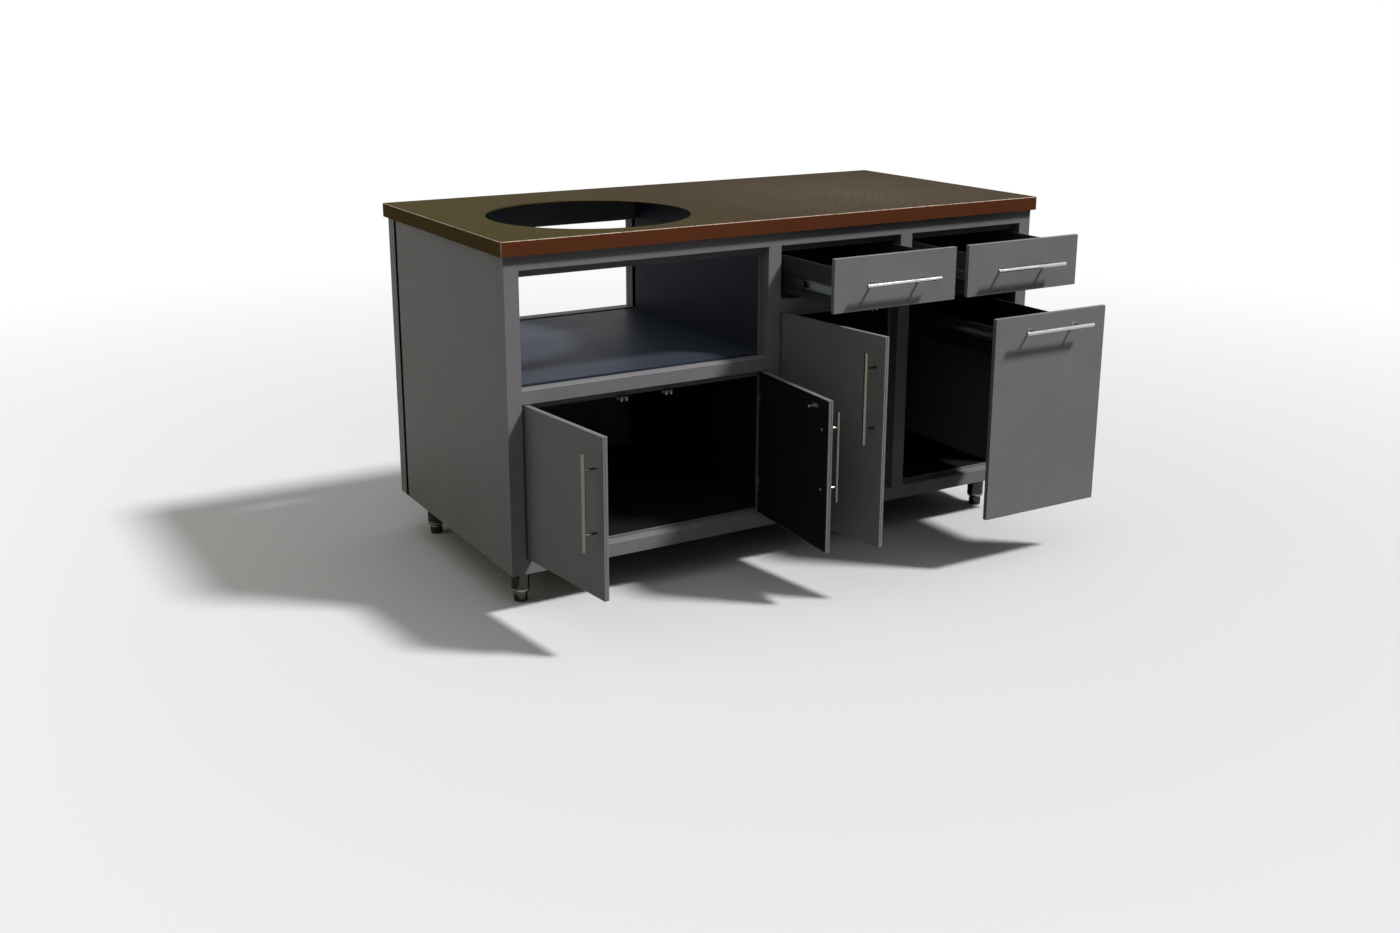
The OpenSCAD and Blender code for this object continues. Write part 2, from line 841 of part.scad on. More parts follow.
module drawer_a_handle() {
    drawer_handle(0);
}

module drawer_a_screws() {
    drawer_screws(0);
}

module drawer_a_slide_inner() {
    slide_inner(0);
}

module drawer_a_slide_mid() {
    slide_mid(0);
}

module drawer_b_front() {
    drawer_front(1);
}

module drawer_b_box() {
    drawer_box(1);
}

module drawer_b_handle() {
    drawer_handle(1);
}

module drawer_b_screws() {
    drawer_screws(1);
}

module drawer_b_slide_inner() {
    slide_inner(1);
}

module drawer_b_slide_mid() {
    slide_mid(1);
}

module deep_front() {
    drawer_front(2);
}

module deep_box() {
    drawer_box(2);
}

module deep_channels() {
    side_channels(2);
}

module deep_handle() {
    drawer_handle(2);
}

module deep_screws() {
    drawer_screws(2);
}

module deep_slide_inner() {
    slide_inner(2);
}

module deep_slide_mid() {
    slide_mid(2);
}

counter_top();
counter_stiffeners();
front_stiles();
front_rails();
inner_rails();
rear_stiles();
rear_rails();
side_panel_left();
side_panel_right();
side_liners();
partition_left();
partition_right();
niche_shelf();
floor_pans();
rear_panel_left();
rear_panel_right();
stop_bars();
base_runners();
legs();
catches();
slide_outers();
hinge_frame_leaves();
foot_front_left();
foot_front_right();
foot_rear_left();
foot_rear_right();
door_left();
handle_left();
screws_left();
hinge_leaves_left();
strike_left();
door_right();
handle_right();
screws_right();
hinge_leaves_right();
strike_right();
door_mid();
handle_mid();
screws_mid();
hinge_leaves_mid();
strike_mid();
drawer_a_front();
drawer_a_box();
drawer_a_handle();
drawer_a_screws();
drawer_a_slide_inner();
drawer_a_slide_mid();
drawer_b_front();
drawer_b_box();
drawer_b_handle();
drawer_b_screws();
drawer_b_slide_inner();
drawer_b_slide_mid();
deep_front();
deep_box();
deep_channels();
deep_handle();
deep_screws();
deep_slide_inner();
deep_slide_mid();
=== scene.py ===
"""Looks of the outdoor kitchen island: powder coated cabinet, hammered counter, doors, drawers and legs.

Everything is in metres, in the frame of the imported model: X to the right along the front, Y to the back
and Z up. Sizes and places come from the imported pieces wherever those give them.
"""

import json
import logging
import math
from collections.abc import Callable, Iterator, Sequence
from contextlib import contextmanager
from dataclasses import dataclass
from enum import Enum
from functools import cache, reduce

import bpy
from bpy.types import Light, Material, Node, NodeSocket, NodeTree, Object, World
from mathutils import Matrix, Vector


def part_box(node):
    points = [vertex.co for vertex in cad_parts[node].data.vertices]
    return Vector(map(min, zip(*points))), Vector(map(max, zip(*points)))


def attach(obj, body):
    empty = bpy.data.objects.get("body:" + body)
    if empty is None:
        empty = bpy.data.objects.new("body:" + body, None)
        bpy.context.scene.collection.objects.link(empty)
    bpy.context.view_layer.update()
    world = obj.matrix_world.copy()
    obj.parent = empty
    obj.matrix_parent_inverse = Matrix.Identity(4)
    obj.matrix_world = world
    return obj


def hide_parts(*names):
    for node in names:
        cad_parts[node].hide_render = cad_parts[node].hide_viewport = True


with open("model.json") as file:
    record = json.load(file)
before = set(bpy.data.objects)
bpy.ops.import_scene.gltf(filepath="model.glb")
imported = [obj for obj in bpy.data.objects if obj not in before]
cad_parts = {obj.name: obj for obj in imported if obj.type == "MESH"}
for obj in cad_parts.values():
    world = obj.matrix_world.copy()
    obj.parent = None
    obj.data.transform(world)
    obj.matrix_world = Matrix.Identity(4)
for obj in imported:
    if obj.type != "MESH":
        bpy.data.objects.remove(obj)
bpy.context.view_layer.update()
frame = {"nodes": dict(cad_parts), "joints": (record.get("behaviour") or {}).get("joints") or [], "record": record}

LOG = logging.getLogger("kitchen_island")
MM = 0.001
SQUARE = 0.9  # how nearly a face looks along an axis, or an edge runs along it, to be picked
SAME_POINT = 0.01 * MM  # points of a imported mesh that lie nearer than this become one
SAME_PLANE = math.radians(1)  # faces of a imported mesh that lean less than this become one
LARGE_FACES = 90  # of 100: how far large flat faces set the shading of the eased edges beside them
CORNERS = ("front_left", "front_right", "rear_left", "rear_right")

Colour = tuple[float, float, float]
Span = tuple[float, float]
Profile = Sequence[Span]
Test = Callable[[Vector, Vector], bool]


class Slot(Enum):
    """Material slots of the record, each of which a finish belongs to."""

    COUNTER = "counter"
    FRAME = "frame"
    INTERIOR = "interior"
    LEGS = "legs"
    HANDLES = "handles"
    SLIDES = "slides"
    HARDWARE = "hardware"
    CATCH = "catch"


class Join(Enum):
    """How one closed shape acts on another."""

    CUT = "DIFFERENCE"
    WELD = "UNION"


BODY_OF: dict[str, str] = {
    node: body for body, nodes in frame["record"]["behaviour"]["bodies"].items() for node in nodes
}


# Bench work: the steps that every piece is made with


def take(piece: Object) -> None:
    """Select one piece alone and make it active.

    Args:
        piece: The piece that the next operator works on.
    """
    bpy.ops.object.select_all(action="DESELECT")
    piece.select_set(True)
    bpy.context.view_layer.objects.active = piece


def settle(piece: Object, name: str) -> Object:
    """Name a new piece and put its place, turn and size into its mesh.

    Args:
        piece: The piece.
        name: Its name.

    Returns:
        The same piece, with its object at the origin.
    """
    piece.name = piece.data.name = name
    take(piece)
    bpy.ops.object.transform_apply(location=True, rotation=True, scale=True)
    return piece


def block(name: str, low: Sequence[float], high: Sequence[float]) -> Object:
    """Make a block between two corners.

    Args:
        name: Name of the piece.
        low: Lowest corner.
        high: Highest corner.

    Returns:
        The block.
    """
    low, high = Vector(low), Vector(high)
    bpy.ops.object.select_all(action="DESELECT")
    bpy.ops.mesh.primitive_cube_add(size=1, location=(low + high) / 2)
    piece = bpy.context.object
    piece.scale = high - low
    return settle(piece, name)


def rod(name: str, start: Sequence[float], end: Sequence[float], radius: float, sides: int = 32) -> Object:
    """Make a round rod between two points.

    Args:
        name: Name of the piece.
        start: Middle of one end.
        end: Middle of the other end.
        radius: Radius of the rod.
        sides: Number of flats round it.

    Returns:
        The rod.
    """
    start, end = Vector(start), Vector(end)
    along = end - start
    turn = Vector((0, 0, 1)).rotation_difference(along).to_euler()
    bpy.ops.object.select_all(action="DESELECT")
    bpy.ops.mesh.primitive_cylinder_add(
        vertices=sides, radius=radius, depth=along.length, location=(start + end) / 2, rotation=turn)
    return settle(bpy.context.object, name)


def extrude(*move: float) -> None:
    """Extrude what is selected by a move along X, Y and Z."""
    bpy.ops.mesh.extrude_region_move(TRANSFORM_OT_translate={"value": move})


def turned(name: str, foot: Sequence[float], profile: Profile, sides: int = 48) -> Object:
    """Make a round upright piece by drawing a disc up through a profile.

    Args:
        name: Name of the piece.
        foot: Point on the axis at height 0 of the profile.
        profile: Heights and radii from the bottom up.
        sides: Number of flats round it.

    Returns:
        The turned piece, closed at both ends.
    """
    foot = Vector(foot)
    (height, radius), *rest = profile
    bpy.ops.object.select_all(action="DESELECT")
    bpy.ops.mesh.primitive_circle_add(
        vertices=sides, radius=radius, fill_type="NGON", location=foot + Vector((0, 0, height)))
    piece = settle(bpy.context.object, name)
    with picked(piece, lambda centre, normal: True):
        for next_height, next_radius in rest:
            extrude(0, 0, next_height - height)
            share = next_radius / radius
            bpy.ops.transform.resize(
                value=(share, share, 1), center_override=foot + Vector((0, 0, next_height)))
            height, radius = next_height, next_radius
    return with_faces_outward(piece)


def with_faces_outward(piece: Object) -> Object:
    """Turn all faces of a piece outwards.

    Args:
        piece: The piece.

    Returns:
        The same piece.
    """
    with picked(piece, lambda centre, normal: True):
        bpy.ops.mesh.normals_make_consistent(inside=False)
    return piece


@contextmanager
def picked(piece: Object, test: Test, edges: bool = False) -> Iterator[None]:
    """Work in edit mode on just some faces or edges of a piece.

    Args:
        piece: The piece.
        test: Says of a face's centre and normal, or an edge's middle and direction, whether it is wanted.
        edges: Whether edges are picked, and not faces.
    """
    take(piece)
    bpy.ops.object.mode_set(mode="EDIT")
    bpy.ops.mesh.select_mode(type="EDGE" if edges else "FACE")
    bpy.ops.mesh.select_all(action="DESELECT")
    bpy.ops.object.mode_set(mode="OBJECT")
    points = piece.data.vertices
    for edge in piece.data.edges if edges else ():
        a, b = (points[i].co for i in edge.vertices)
        edge.select = test((a + b) / 2, (b - a).normalized())
    for face in () if edges else piece.data.polygons:
        face.select = test(face.center, face.normal)
    bpy.ops.object.mode_set(mode="EDIT")
    yield
    bpy.ops.object.mode_set(mode="OBJECT")


def upright(middle: Vector, along: Vector) -> bool:
    """Say whether an edge stands upright."""
    return abs(along.z) > SQUARE


def with_modifier(piece: Object, kind: str, **settings: object) -> Object:
    """Add a modifier to a piece and apply it.

    Args:
        piece: The piece.
        kind: Kind of modifier.
        settings: Its settings.

    Returns:
        The same piece.
    """
    modifier = piece.modifiers.new(kind.title(), kind)
    for key, value in settings.items():
        setattr(modifier, key, value)
    take(piece)
    bpy.ops.object.modifier_apply(modifier=modifier.name)
    return piece


def combine(piece: Object, other: Object, join: Join) -> Object:
    """Cut one closed shape out of another or weld it on, and throw it away.

    Args:
        piece: The piece that is kept.
        other: The shape that is taken out or added.
        join: Which of the two.

    Returns:
        The piece that is kept.
    """
    with_modifier(piece, "BOOLEAN", object=other, operation=join.value, solver="EXACT")
    bpy.data.objects.remove(other)
    return piece


def gather(name: str, parts: Sequence[Object]) -> Object:
    """Join separate parts into one piece.

    Args:
        name: Name of the piece.
        parts: The parts, which stay separate shells.

    Returns:
        The piece that holds them all.
    """
    take(parts[0])
    for part in parts:
        part.select_set(True)
    bpy.ops.object.join()
    piece = bpy.context.object
    piece.name = piece.data.name = name
    return piece


def smooth(piece: Object, angle: float = 40) -> Object:
    """Shade a piece smooth over its eased edges, with its flat faces kept flat.

    Args:
        piece: The piece.
        angle: Largest angle in degrees that is shaded smooth.

    Returns:
        The same piece.
    """
    take(piece)
    bpy.ops.object.shade_smooth_by_angle(angle=math.radians(angle))
    return with_modifier(piece, "WEIGHTED_NORMAL", keep_sharp=True, weight=LARGE_FACES)


def bevelled(piece: Object, width: float, segments: int = 2, angle: float = 35) -> Object:
    """Bevel the edges of a piece that are sharper than an angle in degrees."""
    return with_modifier(piece, "BEVEL", width=width, segments=segments, limit_method="ANGLE",
                         angle_limit=math.radians(angle))


def eased(piece: Object, width: float, segments: int = 2) -> Object:
    """Ease the sharp edges of a piece, as a fold or a file leaves them, and shade it."""
    return smooth(bevelled(piece, width, segments))


def fair_copy(node: str, name: str) -> Object:
    """Copy a node as one clean mesh with its flat areas whole.

    Args:
        node: Name of the node.
        name: Name of the copy.

    Returns:
        The copy, which rides on nothing yet.
    """
    mesh = frame["nodes"][node].data.copy()
    mesh.materials.clear()
    piece = bpy.data.objects.new(name, mesh)
    bpy.context.collection.objects.link(piece)
    take(piece)
    mesh.name = name
    bpy.ops.mesh.customdata_custom_splitnormals_clear()
    with picked(piece, lambda centre, normal: True):
        bpy.ops.mesh.remove_doubles(threshold=SAME_POINT)
        bpy.ops.mesh.dissolve_limited(angle_limit=SAME_PLANE)
    return piece


# Finishes


@dataclass
class Wiring:
    """A node tree with short ways to add nodes and join them."""

    tree: NodeTree

    def put(self, kind: str, inputs: dict | None = None, **settings: object) -> Node:
        """Add a shader node.

        Args:
            kind: Kind of node, without its ShaderNode prefix.
            inputs: Values, or sockets to join, by input name or number.
            settings: Other settings of the node.

        Returns:
            The new node.
        """
        node = self.tree.nodes.new("ShaderNode" + kind)
        for key, value in settings.items():
            setattr(node, key, value)
        for key, value in (inputs or {}).items():
            self.feed(node.inputs[key], value)
        return node

    def feed(self, socket: NodeSocket, value: object) -> None:
        """Join a socket to an input, or write a value on it.

        Args:
            socket: The input.
            value: A socket or a plain value.
        """
        if isinstance(value, NodeSocket):
            self.tree.links.new(value, socket)
        else:
            socket.default_value = value

    def math(self, operation: str, a: object, b: object = 0.0) -> NodeSocket:
        """Return what an operation makes of two values or sockets."""
        return self.put("Math", {0: a, 1: b}, operation=operation).outputs[0]

    def times(self, *values: object) -> NodeSocket:
        """Return the product of values or sockets."""
        return reduce(lambda a, b: self.math("MULTIPLY", a, b), values)

    def vector(self, operation: str, a: object, b: object) -> NodeSocket:
        """Return the vector that an operation makes of two others."""
        return self.put("VectorMath", {0: a, 1: b}, operation=operation).outputs[0]

    def distance(self, place: NodeSocket, point: Sequence[float]) -> NodeSocket:
        """Return the distance of a place from a point."""
        return self.put("VectorMath", {0: place, 1: point}, operation="DISTANCE").outputs["Value"]

    def parts(self, vector: NodeSocket) -> dict:
        """Return the three numbers of a vector by the names of their axes."""
        return self.put("SeparateXYZ", {0: vector}).outputs

    def blend(self, share: object, a: object, b: object) -> NodeSocket:
        """Return the mix of two colours, with a share of the second."""
        return self.put("Mix", {0: share, 6: a, 7: b}, data_type="RGBA").outputs[2]

    def spread(self, value: NodeSocket, span: Span, onto: Span = (0.0, 1.0)) -> NodeSocket:
        """Return a value mapped from one range to another, without going past it."""
        return self.put("MapRange", {0: value, 1: span[0], 2: span[1], 3: onto[0], 4: onto[1]}).outputs[0]

    def noise(self, place: NodeSocket, scale: object, detail: float, roughness: float = 0.5) -> NodeSocket:
        """Return a noise over a place, around 0.5."""
        inputs = {"Vector": place, "Scale": scale, "Detail": detail, "Roughness": roughness}
        return self.put("TexNoise", inputs).outputs["Fac"]


@dataclass
class Inside(Wiring):
    """The inside of a shared effect, between its inputs and its outputs."""

    entry: dict
    exits: dict

    def give(self, **results: NodeSocket) -> None:
        """Join results to the outputs of their names.

        Args:
            results: The results.
        """
        for name, result in results.items():
            self.feed(self.exits[name], result)


@dataclass(frozen=True)
class Effect:
    """A shader node group that several finishes share. An input without a number is a vector."""

    name: str
    inputs: dict[str, float | None]
    outputs: tuple[str, ...]
    draw: Callable[[Inside], None]

    def tree(self) -> NodeTree:
        """Build the group.

        Returns:
            The node group.
        """
        group = bpy.data.node_groups.new(self.name, "ShaderNodeTree")
        for name, value in self.inputs.items():
            kind = "NodeSocketVector" if value is None else "NodeSocketFloat"
            socket = group.interface.new_socket(name=name, in_out="INPUT", socket_type=kind)
            if value is not None:
                socket.default_value = value
        for name in self.outputs:
            group.interface.new_socket(name=name, in_out="OUTPUT", socket_type="NodeSocketFloat")
        entry, exits = group.nodes.new("NodeGroupInput"), group.nodes.new("NodeGroupOutput")
        self.draw(Inside(group, entry.outputs, exits.inputs))
        return group


def draw_powder(inside: Inside) -> None:
    """Wire sprayed and baked powder: a fine peel over slow and fine mottling.

    Args:
        inside: The inside of the effect.
    """
    place, slow_share = inside.entry["Place"], 0.7
    slow = inside.noise(place, scale=5.0, detail=3.0, roughness=0.6)
    fine = inside.noise(place, scale=60.0, detail=2.0)
    both = inside.math("ADD", inside.times(slow, slow_share), inside.times(fine, 1 - slow_share))
    inside.give(Height=inside.noise(place, inside.entry["Peel"], detail=2.0),
                Mottle=inside.spread(both, (0.35, 0.65)))


def draw_hammer(inside: Inside) -> None:
    """Wire hammered paint: shallow round cells of uneven size with raised rims.

    Args:
        inside: The inside of the effect.
    """
    place, shake = inside.entry["Place"], (6 * MM, 6 * MM, 6 * MM)
    noise = inside.put("TexNoise", {"Vector": place, "Scale": 70.0, "Detail": 1.0}).outputs["Color"]
    shaken = inside.vector("ADD", place, inside.vector("MULTIPLY", noise, shake))
    cells = inside.put("TexVoronoi", {"Vector": shaken, "Scale": inside.entry["Cells"], "Smoothness": 0.6},
                       feature="SMOOTH_F1").outputs["Distance"]
    inside.give(Height=inside.spread(cells, (0.0, 0.7)), Rim=inside.spread(cells, (0.25, 0.65)))


def draw_brush(inside: Inside) -> None:
    """Wire drawn or brushed metal: long thin streaks, and smudges.

    Args:
        inside: The inside of the effect.
    """
    place = inside.entry["Place"]
    stretched = inside.vector("MULTIPLY", place, inside.entry["Stretch"])
    streaks = inside.noise(stretched, scale=1.0, detail=3.0, roughness=0.7)
    smudges = inside.noise(place, scale=35.0, detail=2.0)
    inside.give(Height=streaks, Streak=inside.spread(streaks, (0.3, 0.7)),
                Smudge=inside.spread(smudges, (0.4, 0.7)))


def draw_edges(inside: Inside) -> None:
    """Wire a mask of eased edges, where paint lies thin and worn, and where a painted highlight stands in for the
    light that the edges catch.

    Args:
        inside: The inside of the effect.
    """
    normal = inside.parts(inside.put("TexCoord").outputs["Normal"])
    flattest = reduce(lambda a, b: inside.math("MAXIMUM", a, b),
                      [inside.math("ABSOLUTE", normal[axis]) for axis in "XYZ"])
    broken = inside.noise(inside.entry["Place"], scale=90.0, detail=3.0)
    inside.give(Mask=inside.times(inside.spread(flattest, (0.8, 0.97), (1.0, 0.0)),
                                  inside.spread(broken, (0.3, 0.55), (0.4, 1.0)), inside.entry["Amount"]))


def draw_dust(inside: Inside) -> None:
    """Wire a thin uneven dust that lies on faces that look up.

    Args:
        inside: The inside of the effect.
    """
    up = inside.parts(inside.put("NewGeometry").outputs["Normal"])["Z"]
    patches = inside.noise(inside.entry["Place"], scale=9.0, detail=4.0)
    inside.give(Mask=inside.times(inside.spread(up, (0.6, 1.0)),
                                  inside.spread(patches, (0.35, 0.75), (0.2, 1.0)), inside.entry["Amount"]))


EFFECTS: dict[str, NodeTree] = {effect.name: effect.tree() for effect in (
    Effect("powder_texture", {"Place": None, "Peel": 700.0}, ("Height", "Mottle"), draw_powder),
    Effect("hammered_texture", {"Place": None, "Cells": 150.0}, ("Height", "Rim"), draw_hammer),
    Effect("brushed_texture", {"Place": None, "Stretch": None}, ("Height", "Streak", "Smudge"), draw_brush),
    # A mask of real wear and of a painted highlight along eased edges
    Effect("worn_and_lit_edges", {"Place": None, "Amount": 0.2}, ("Mask",), draw_edges),
    Effect("dust_on_top", {"Place": None, "Amount": 0.1}, ("Mask",), draw_dust))}


def rgba(colour: Colour, level: float = 1.0) -> tuple[float, float, float, float]:
    """Return a colour as four numbers, lightened or darkened by a level."""
    return tuple(min(1.0, c * level) for c in colour) + (1.0,)


class Mixture(Wiring):
    """A material in the making: its wiring, its shader and the place on the object."""

    def __init__(self, name: str) -> None:
        """Start a material.

        Args:
            name: Name of the material.
        """
        self.material = bpy.data.materials.new(name)
        self.material.use_nodes = True
        super().__init__(self.material.node_tree)
        self.shader = self.tree.nodes["Principled BSDF"]
        self.place = self.put("TexCoord").outputs["Object"]

    def effect(self, name: str, **inputs: object) -> dict:
        """Place a shared effect and return its outputs by name."""
        return self.put("Group", {"Place": self.place, **inputs}, node_tree=EFFECTS[name]).outputs

    def varied(self, share: NodeSocket, colour: Colour, change: float) -> NodeSocket:
        """Return a colour that a share takes from darker to lighter by a change."""
        return self.blend(share, rgba(colour, 1 - change), rgba(colour, 1 + change))

    def poured(self, colour: NodeSocket, roughness: NodeSocket, height: NodeSocket, depth: float) -> Material:
        """Join what was mixed to the shader.

        Args:
            colour: Colour of the surface.
            roughness: Its roughness.
            height: Height of its relief, from 0 to 1.
            depth: Depth in metres that a height of 1 stands for.

        Returns:
            The material.
        """
        relief = self.put("Bump", {"Height": height, "Distance": depth, "Strength": 1.0})
        results = {"Base Color": colour, "Roughness": roughness, "Normal": relief.outputs["Normal"]}
        for name, result in results.items():
            self.feed(self.shader.inputs[name], result)
        return self.material


@dataclass(frozen=True)
class PowderCoat:
    """Baked powder on steel sheet, whose eased edges carry real wear and a painted highlight."""

    name: str
    slot: Slot
    colour: Colour
    roughness: Span = (0.42, 0.52)
    level: float = 0.06
    peel_scale: float = 420.0
    peel_depth: float = 0.05 * MM
    mottle: float = 0.06
    dust: float = 0.05
    dust_colour: Colour = (0.35, 0.34, 0.32)
    # Eased edges take a lighter colour: partly real wear, partly a painted highlight of the light they catch.
    wear_and_highlight: float = 0.2
    wear_and_highlight_colour: Colour = (0.55, 0.55, 0.56)

    def mix(self) -> Material:
        """Mix the powder.

        Returns:
            The material of this finish.
        """
        mixture = Mixture(self.name)
        coat = mixture.effect("powder_texture", Peel=self.peel_scale)
        dust = mixture.effect("dust_on_top", Amount=self.dust)["Mask"]
        # Edges are lightened as real wear and as a painted highlight.
        edges = mixture.effect("worn_and_lit_edges", Amount=self.wear_and_highlight)["Mask"]
        tone = mixture.varied(coat["Mottle"], self.colour, self.mottle)
        worn_and_lit = mixture.blend(edges, mixture.blend(dust, tone, rgba(self.dust_colour)), rgba(self.wear_and_highlight_colour))
        mixture.shader.inputs["Specular IOR Level"].default_value = self.level
        return mixture.poured(worn_and_lit, mixture.spread(coat["Mottle"], (0.0, 1.0), self.roughness),
                              coat["Height"], self.peel_depth)


@dataclass(frozen=True)
class HammeredCoat:
    """Hammered metallic paint with painted light: olive towards the left and brown to the right as painted light
    from the left, and lit copper on the front skirt and lit olive on the side skirt as painted light.

    The paint round the hole is dark and has no painted bright edge, and pale flecks gather about one spot as a
    painted glint.
    """

    name: str
    slot: Slot
    left_lit_colour: Colour
    right_lit_colour: Colour
    front_lit_colour: Colour
    side_lit_colour: Colour
    fleck_and_glint_colour: Colour
    edge_highlight_colour: Colour
    roughness: Span = (0.38, 0.55)
    level: float = 0.002
    cell_scale: float = 150.0
    cell_depth: float = 0.12 * MM
    cloud_scale: float = 500.0
    cloud: float = 0.18
    cloud_level: float = 0.6
    turn: Span = (-0.75, 0.0)
    outward: Span = (-0.9, -0.5)
    upward: Span = (0.5, 0.95)
    fleck_and_glint: float = 0.6
    fleck_rims: Span = (0.45, 0.95)
    fleck_far: float = 0.15
    patches: Span = (0.0, 0.9)
    patch_flecks: Span = (0.5, 1.0)
    # Centre and reach of the painted glint spot.
    painted_glint_spot: tuple[float, float, float] = (0.43, -0.10, 0.914)
    glint_spot_radius: float = 0.55
    hole_centre: tuple[float, float, float] = (-0.424, -0.076, 0.914)
    hole_reach: Span = (0.266, 0.275)
    wear_and_highlight: float = 0.95

    def mix(self) -> Material:
        """Mix the paint.

        Returns:
            The material of this finish.
        """
        mixture = Mixture(self.name)
        hammer = mixture.effect("hammered_texture", Cells=self.cell_scale)
        mottle = mixture.effect("powder_texture", Peel=self.cloud_scale)["Mottle"]
        facing = mixture.parts(mixture.put("TexCoord").outputs["Normal"])
        off_hole = mixture.spread(mixture.distance(mixture.place, self.hole_centre), self.hole_reach)
        # Painted light: the olive to brown change across X, and the lit skirt colours chosen by the way each face
        # looks, stand in for how the lamps fall on the paint.
        across = mixture.spread(mixture.parts(mixture.place)["X"], self.turn)
        tone = mixture.blend(across, rgba(self.left_lit_colour), rgba(self.right_lit_colour))
        for axis, colour in (("Y", self.front_lit_colour), ("X", self.side_lit_colour)):
            skirt = mixture.times(mixture.spread(facing[axis], self.outward, (1.0, 0.0)), off_hole)
            tone = mixture.blend(skirt, tone, rgba(colour))
        # Painted glint: pale flecks gather about one spot as a painted highlight and thin out to plain flecks away
        # from it.
        near_glint_spot = mixture.spread(mixture.distance(mixture.place, self.painted_glint_spot), (0.0, self.glint_spot_radius),
                              (1.0, self.fleck_far))
        flecks = mixture.times(mixture.spread(hammer["Rim"], self.fleck_rims), self.fleck_and_glint, near_glint_spot,
                               mixture.spread(mottle, self.patches, self.patch_flecks),
                               mixture.spread(facing["Z"], self.upward, (self.fleck_far, 1.0)))
        flecked_and_glinting = mixture.blend(flecks, tone, rgba(self.fleck_and_glint_colour))
        cloudy = mixture.blend(mixture.times(mottle, self.cloud), flecked_and_glinting,
                               rgba(self.left_lit_colour, self.cloud_level))
        # Painted highlight: a pale line along the eased edges, kept off the hole.
        edges = mixture.times(mixture.effect("worn_and_lit_edges", Amount=self.wear_and_highlight)["Mask"], off_hole)
        mixture.shader.inputs["Specular IOR Level"].default_value = self.level
        return mixture.poured(mixture.blend(edges, cloudy, rgba(self.edge_highlight_colour)),
                              mixture.spread(hammer["Rim"], (0.0, 1.0), self.roughness),
                              hammer["Height"], self.cell_depth)


@dataclass(frozen=True)
class Metal:
    """Bare, plated or polished metal with fine streaks along one way."""

    name: str
    slot: Slot
    colour: Colour
    roughness: Span
    stretch: tuple[float, float, float] = (900.0, 900.0, 30.0)
    streak_depth: float = 0.004 * MM
    variation: float = 0.08

    def mix(self) -> Material:
        """Mix the metal.

        Returns:
            The material of this finish.
        """
        mixture = Mixture(self.name)
        brush = mixture.effect("brushed_texture", Stretch=self.stretch)
        mixture.shader.inputs["Metallic"].default_value = 1.0
        return mixture.poured(mixture.varied(brush["Streak"], self.colour, self.variation),
                              mixture.spread(brush["Smudge"], (0.0, 1.0), self.roughness),
                              brush["Height"], self.streak_depth)


@dataclass(frozen=True)
class Moulded:
    """Moulded rubber or plastic."""

    name: str
    slot: Slot
    colour: Colour
    roughness: Span = (0.45, 0.7)
    grain_scale: float = 1500.0
    grain_depth: float = 0.03 * MM
    variation: float = 0.15

    def mix(self) -> Material:
        """Mix the plastic.

        Returns:
            The material of this finish.
        """
        mixture = Mixture(self.name)
        grain = mixture.effect("powder_texture", Peel=self.grain_scale)
        return mixture.poured(mixture.varied(grain["Mottle"], self.colour, self.variation),
                              mixture.spread(grain["Mottle"], (0.0, 1.0), self.roughness),
                              grain["Height"], self.grain_depth)


Finish = PowderCoat | HammeredCoat | Metal | Moulded

ALONG_SLIDE = (700.0, 25.0, 700.0)
GREY_COAT = PowderCoat("grey_powder_coat", Slot.FRAME, (0.228, 0.226, 0.230))
# The near-white edges of the stop bars are a painted highlight of the lit sill bead.
STOP_COAT = PowderCoat("stop_powder_coat", Slot.FRAME, (0.190, 0.195, 0.200), level=0.08, wear_and_highlight=0.75,
                       wear_and_highlight_colour=(0.80, 0.80, 0.80))
SHELF_COAT = PowderCoat("shelf_powder_coat", Slot.INTERIOR, (0.034, 0.043, 0.060), level=0.05,
                        dust_colour=(0.10, 0.11, 0.13), wear_and_highlight=0.1)
# The pale rim of the drawer boxes is partly a painted highlight of light on their hems.
DARK_COAT = PowderCoat("dark_powder_coat", Slot.INTERIOR, (0.052, 0.060, 0.058), level=0.05,
                       dust_colour=(0.10, 0.10, 0.10), wear_and_highlight=0.35, wear_and_highlight_colour=(0.45, 0.45, 0.44))
# Near-black coat for inside faces: partly their own dark paint, mostly painted shade for the dark inside of the
# cabinet.
BLACK_SHADE_COAT = PowderCoat("black_painted_shade_coat", Slot.INTERIOR, (0.015, 0.015, 0.0155), level=0.03,
                        dust_colour=(0.012, 0.012, 0.012), wear_and_highlight=0.02)
# The counter's colours hold painted light: olive to brown across the top, lit skirt colours, a painted glint spot
# and a painted edge highlight.
COUNTER_COAT = HammeredCoat(
    "hammered_brown", Slot.COUNTER, left_lit_colour=(0.055, 0.044, 0.010), right_lit_colour=(0.052, 0.035, 0.018),
    front_lit_colour=(0.140, 0.042, 0.018), side_lit_colour=(0.100, 0.068, 0.026),
    fleck_and_glint_colour=(0.230, 0.200, 0.165), edge_highlight_colour=(0.80, 0.64, 0.54))
# The chrome is darkened far below real chrome, as a painted dark reflection of the surroundings.
CHROME = Metal("polished_chrome_painted_dark", Slot.LEGS, (0.052, 0.053, 0.044), (0.08, 0.18), variation=0.03,
               streak_depth=0.001 * MM)
# The lighter chrome of the rings is a painted highlight on the ring.
RING_HIGHLIGHT_CHROME = Metal("chrome_painted_ring_highlight", Slot.LEGS, (0.30, 0.30, 0.27), (0.15, 0.25), variation=0.03,
                      streak_depth=0.001 * MM)
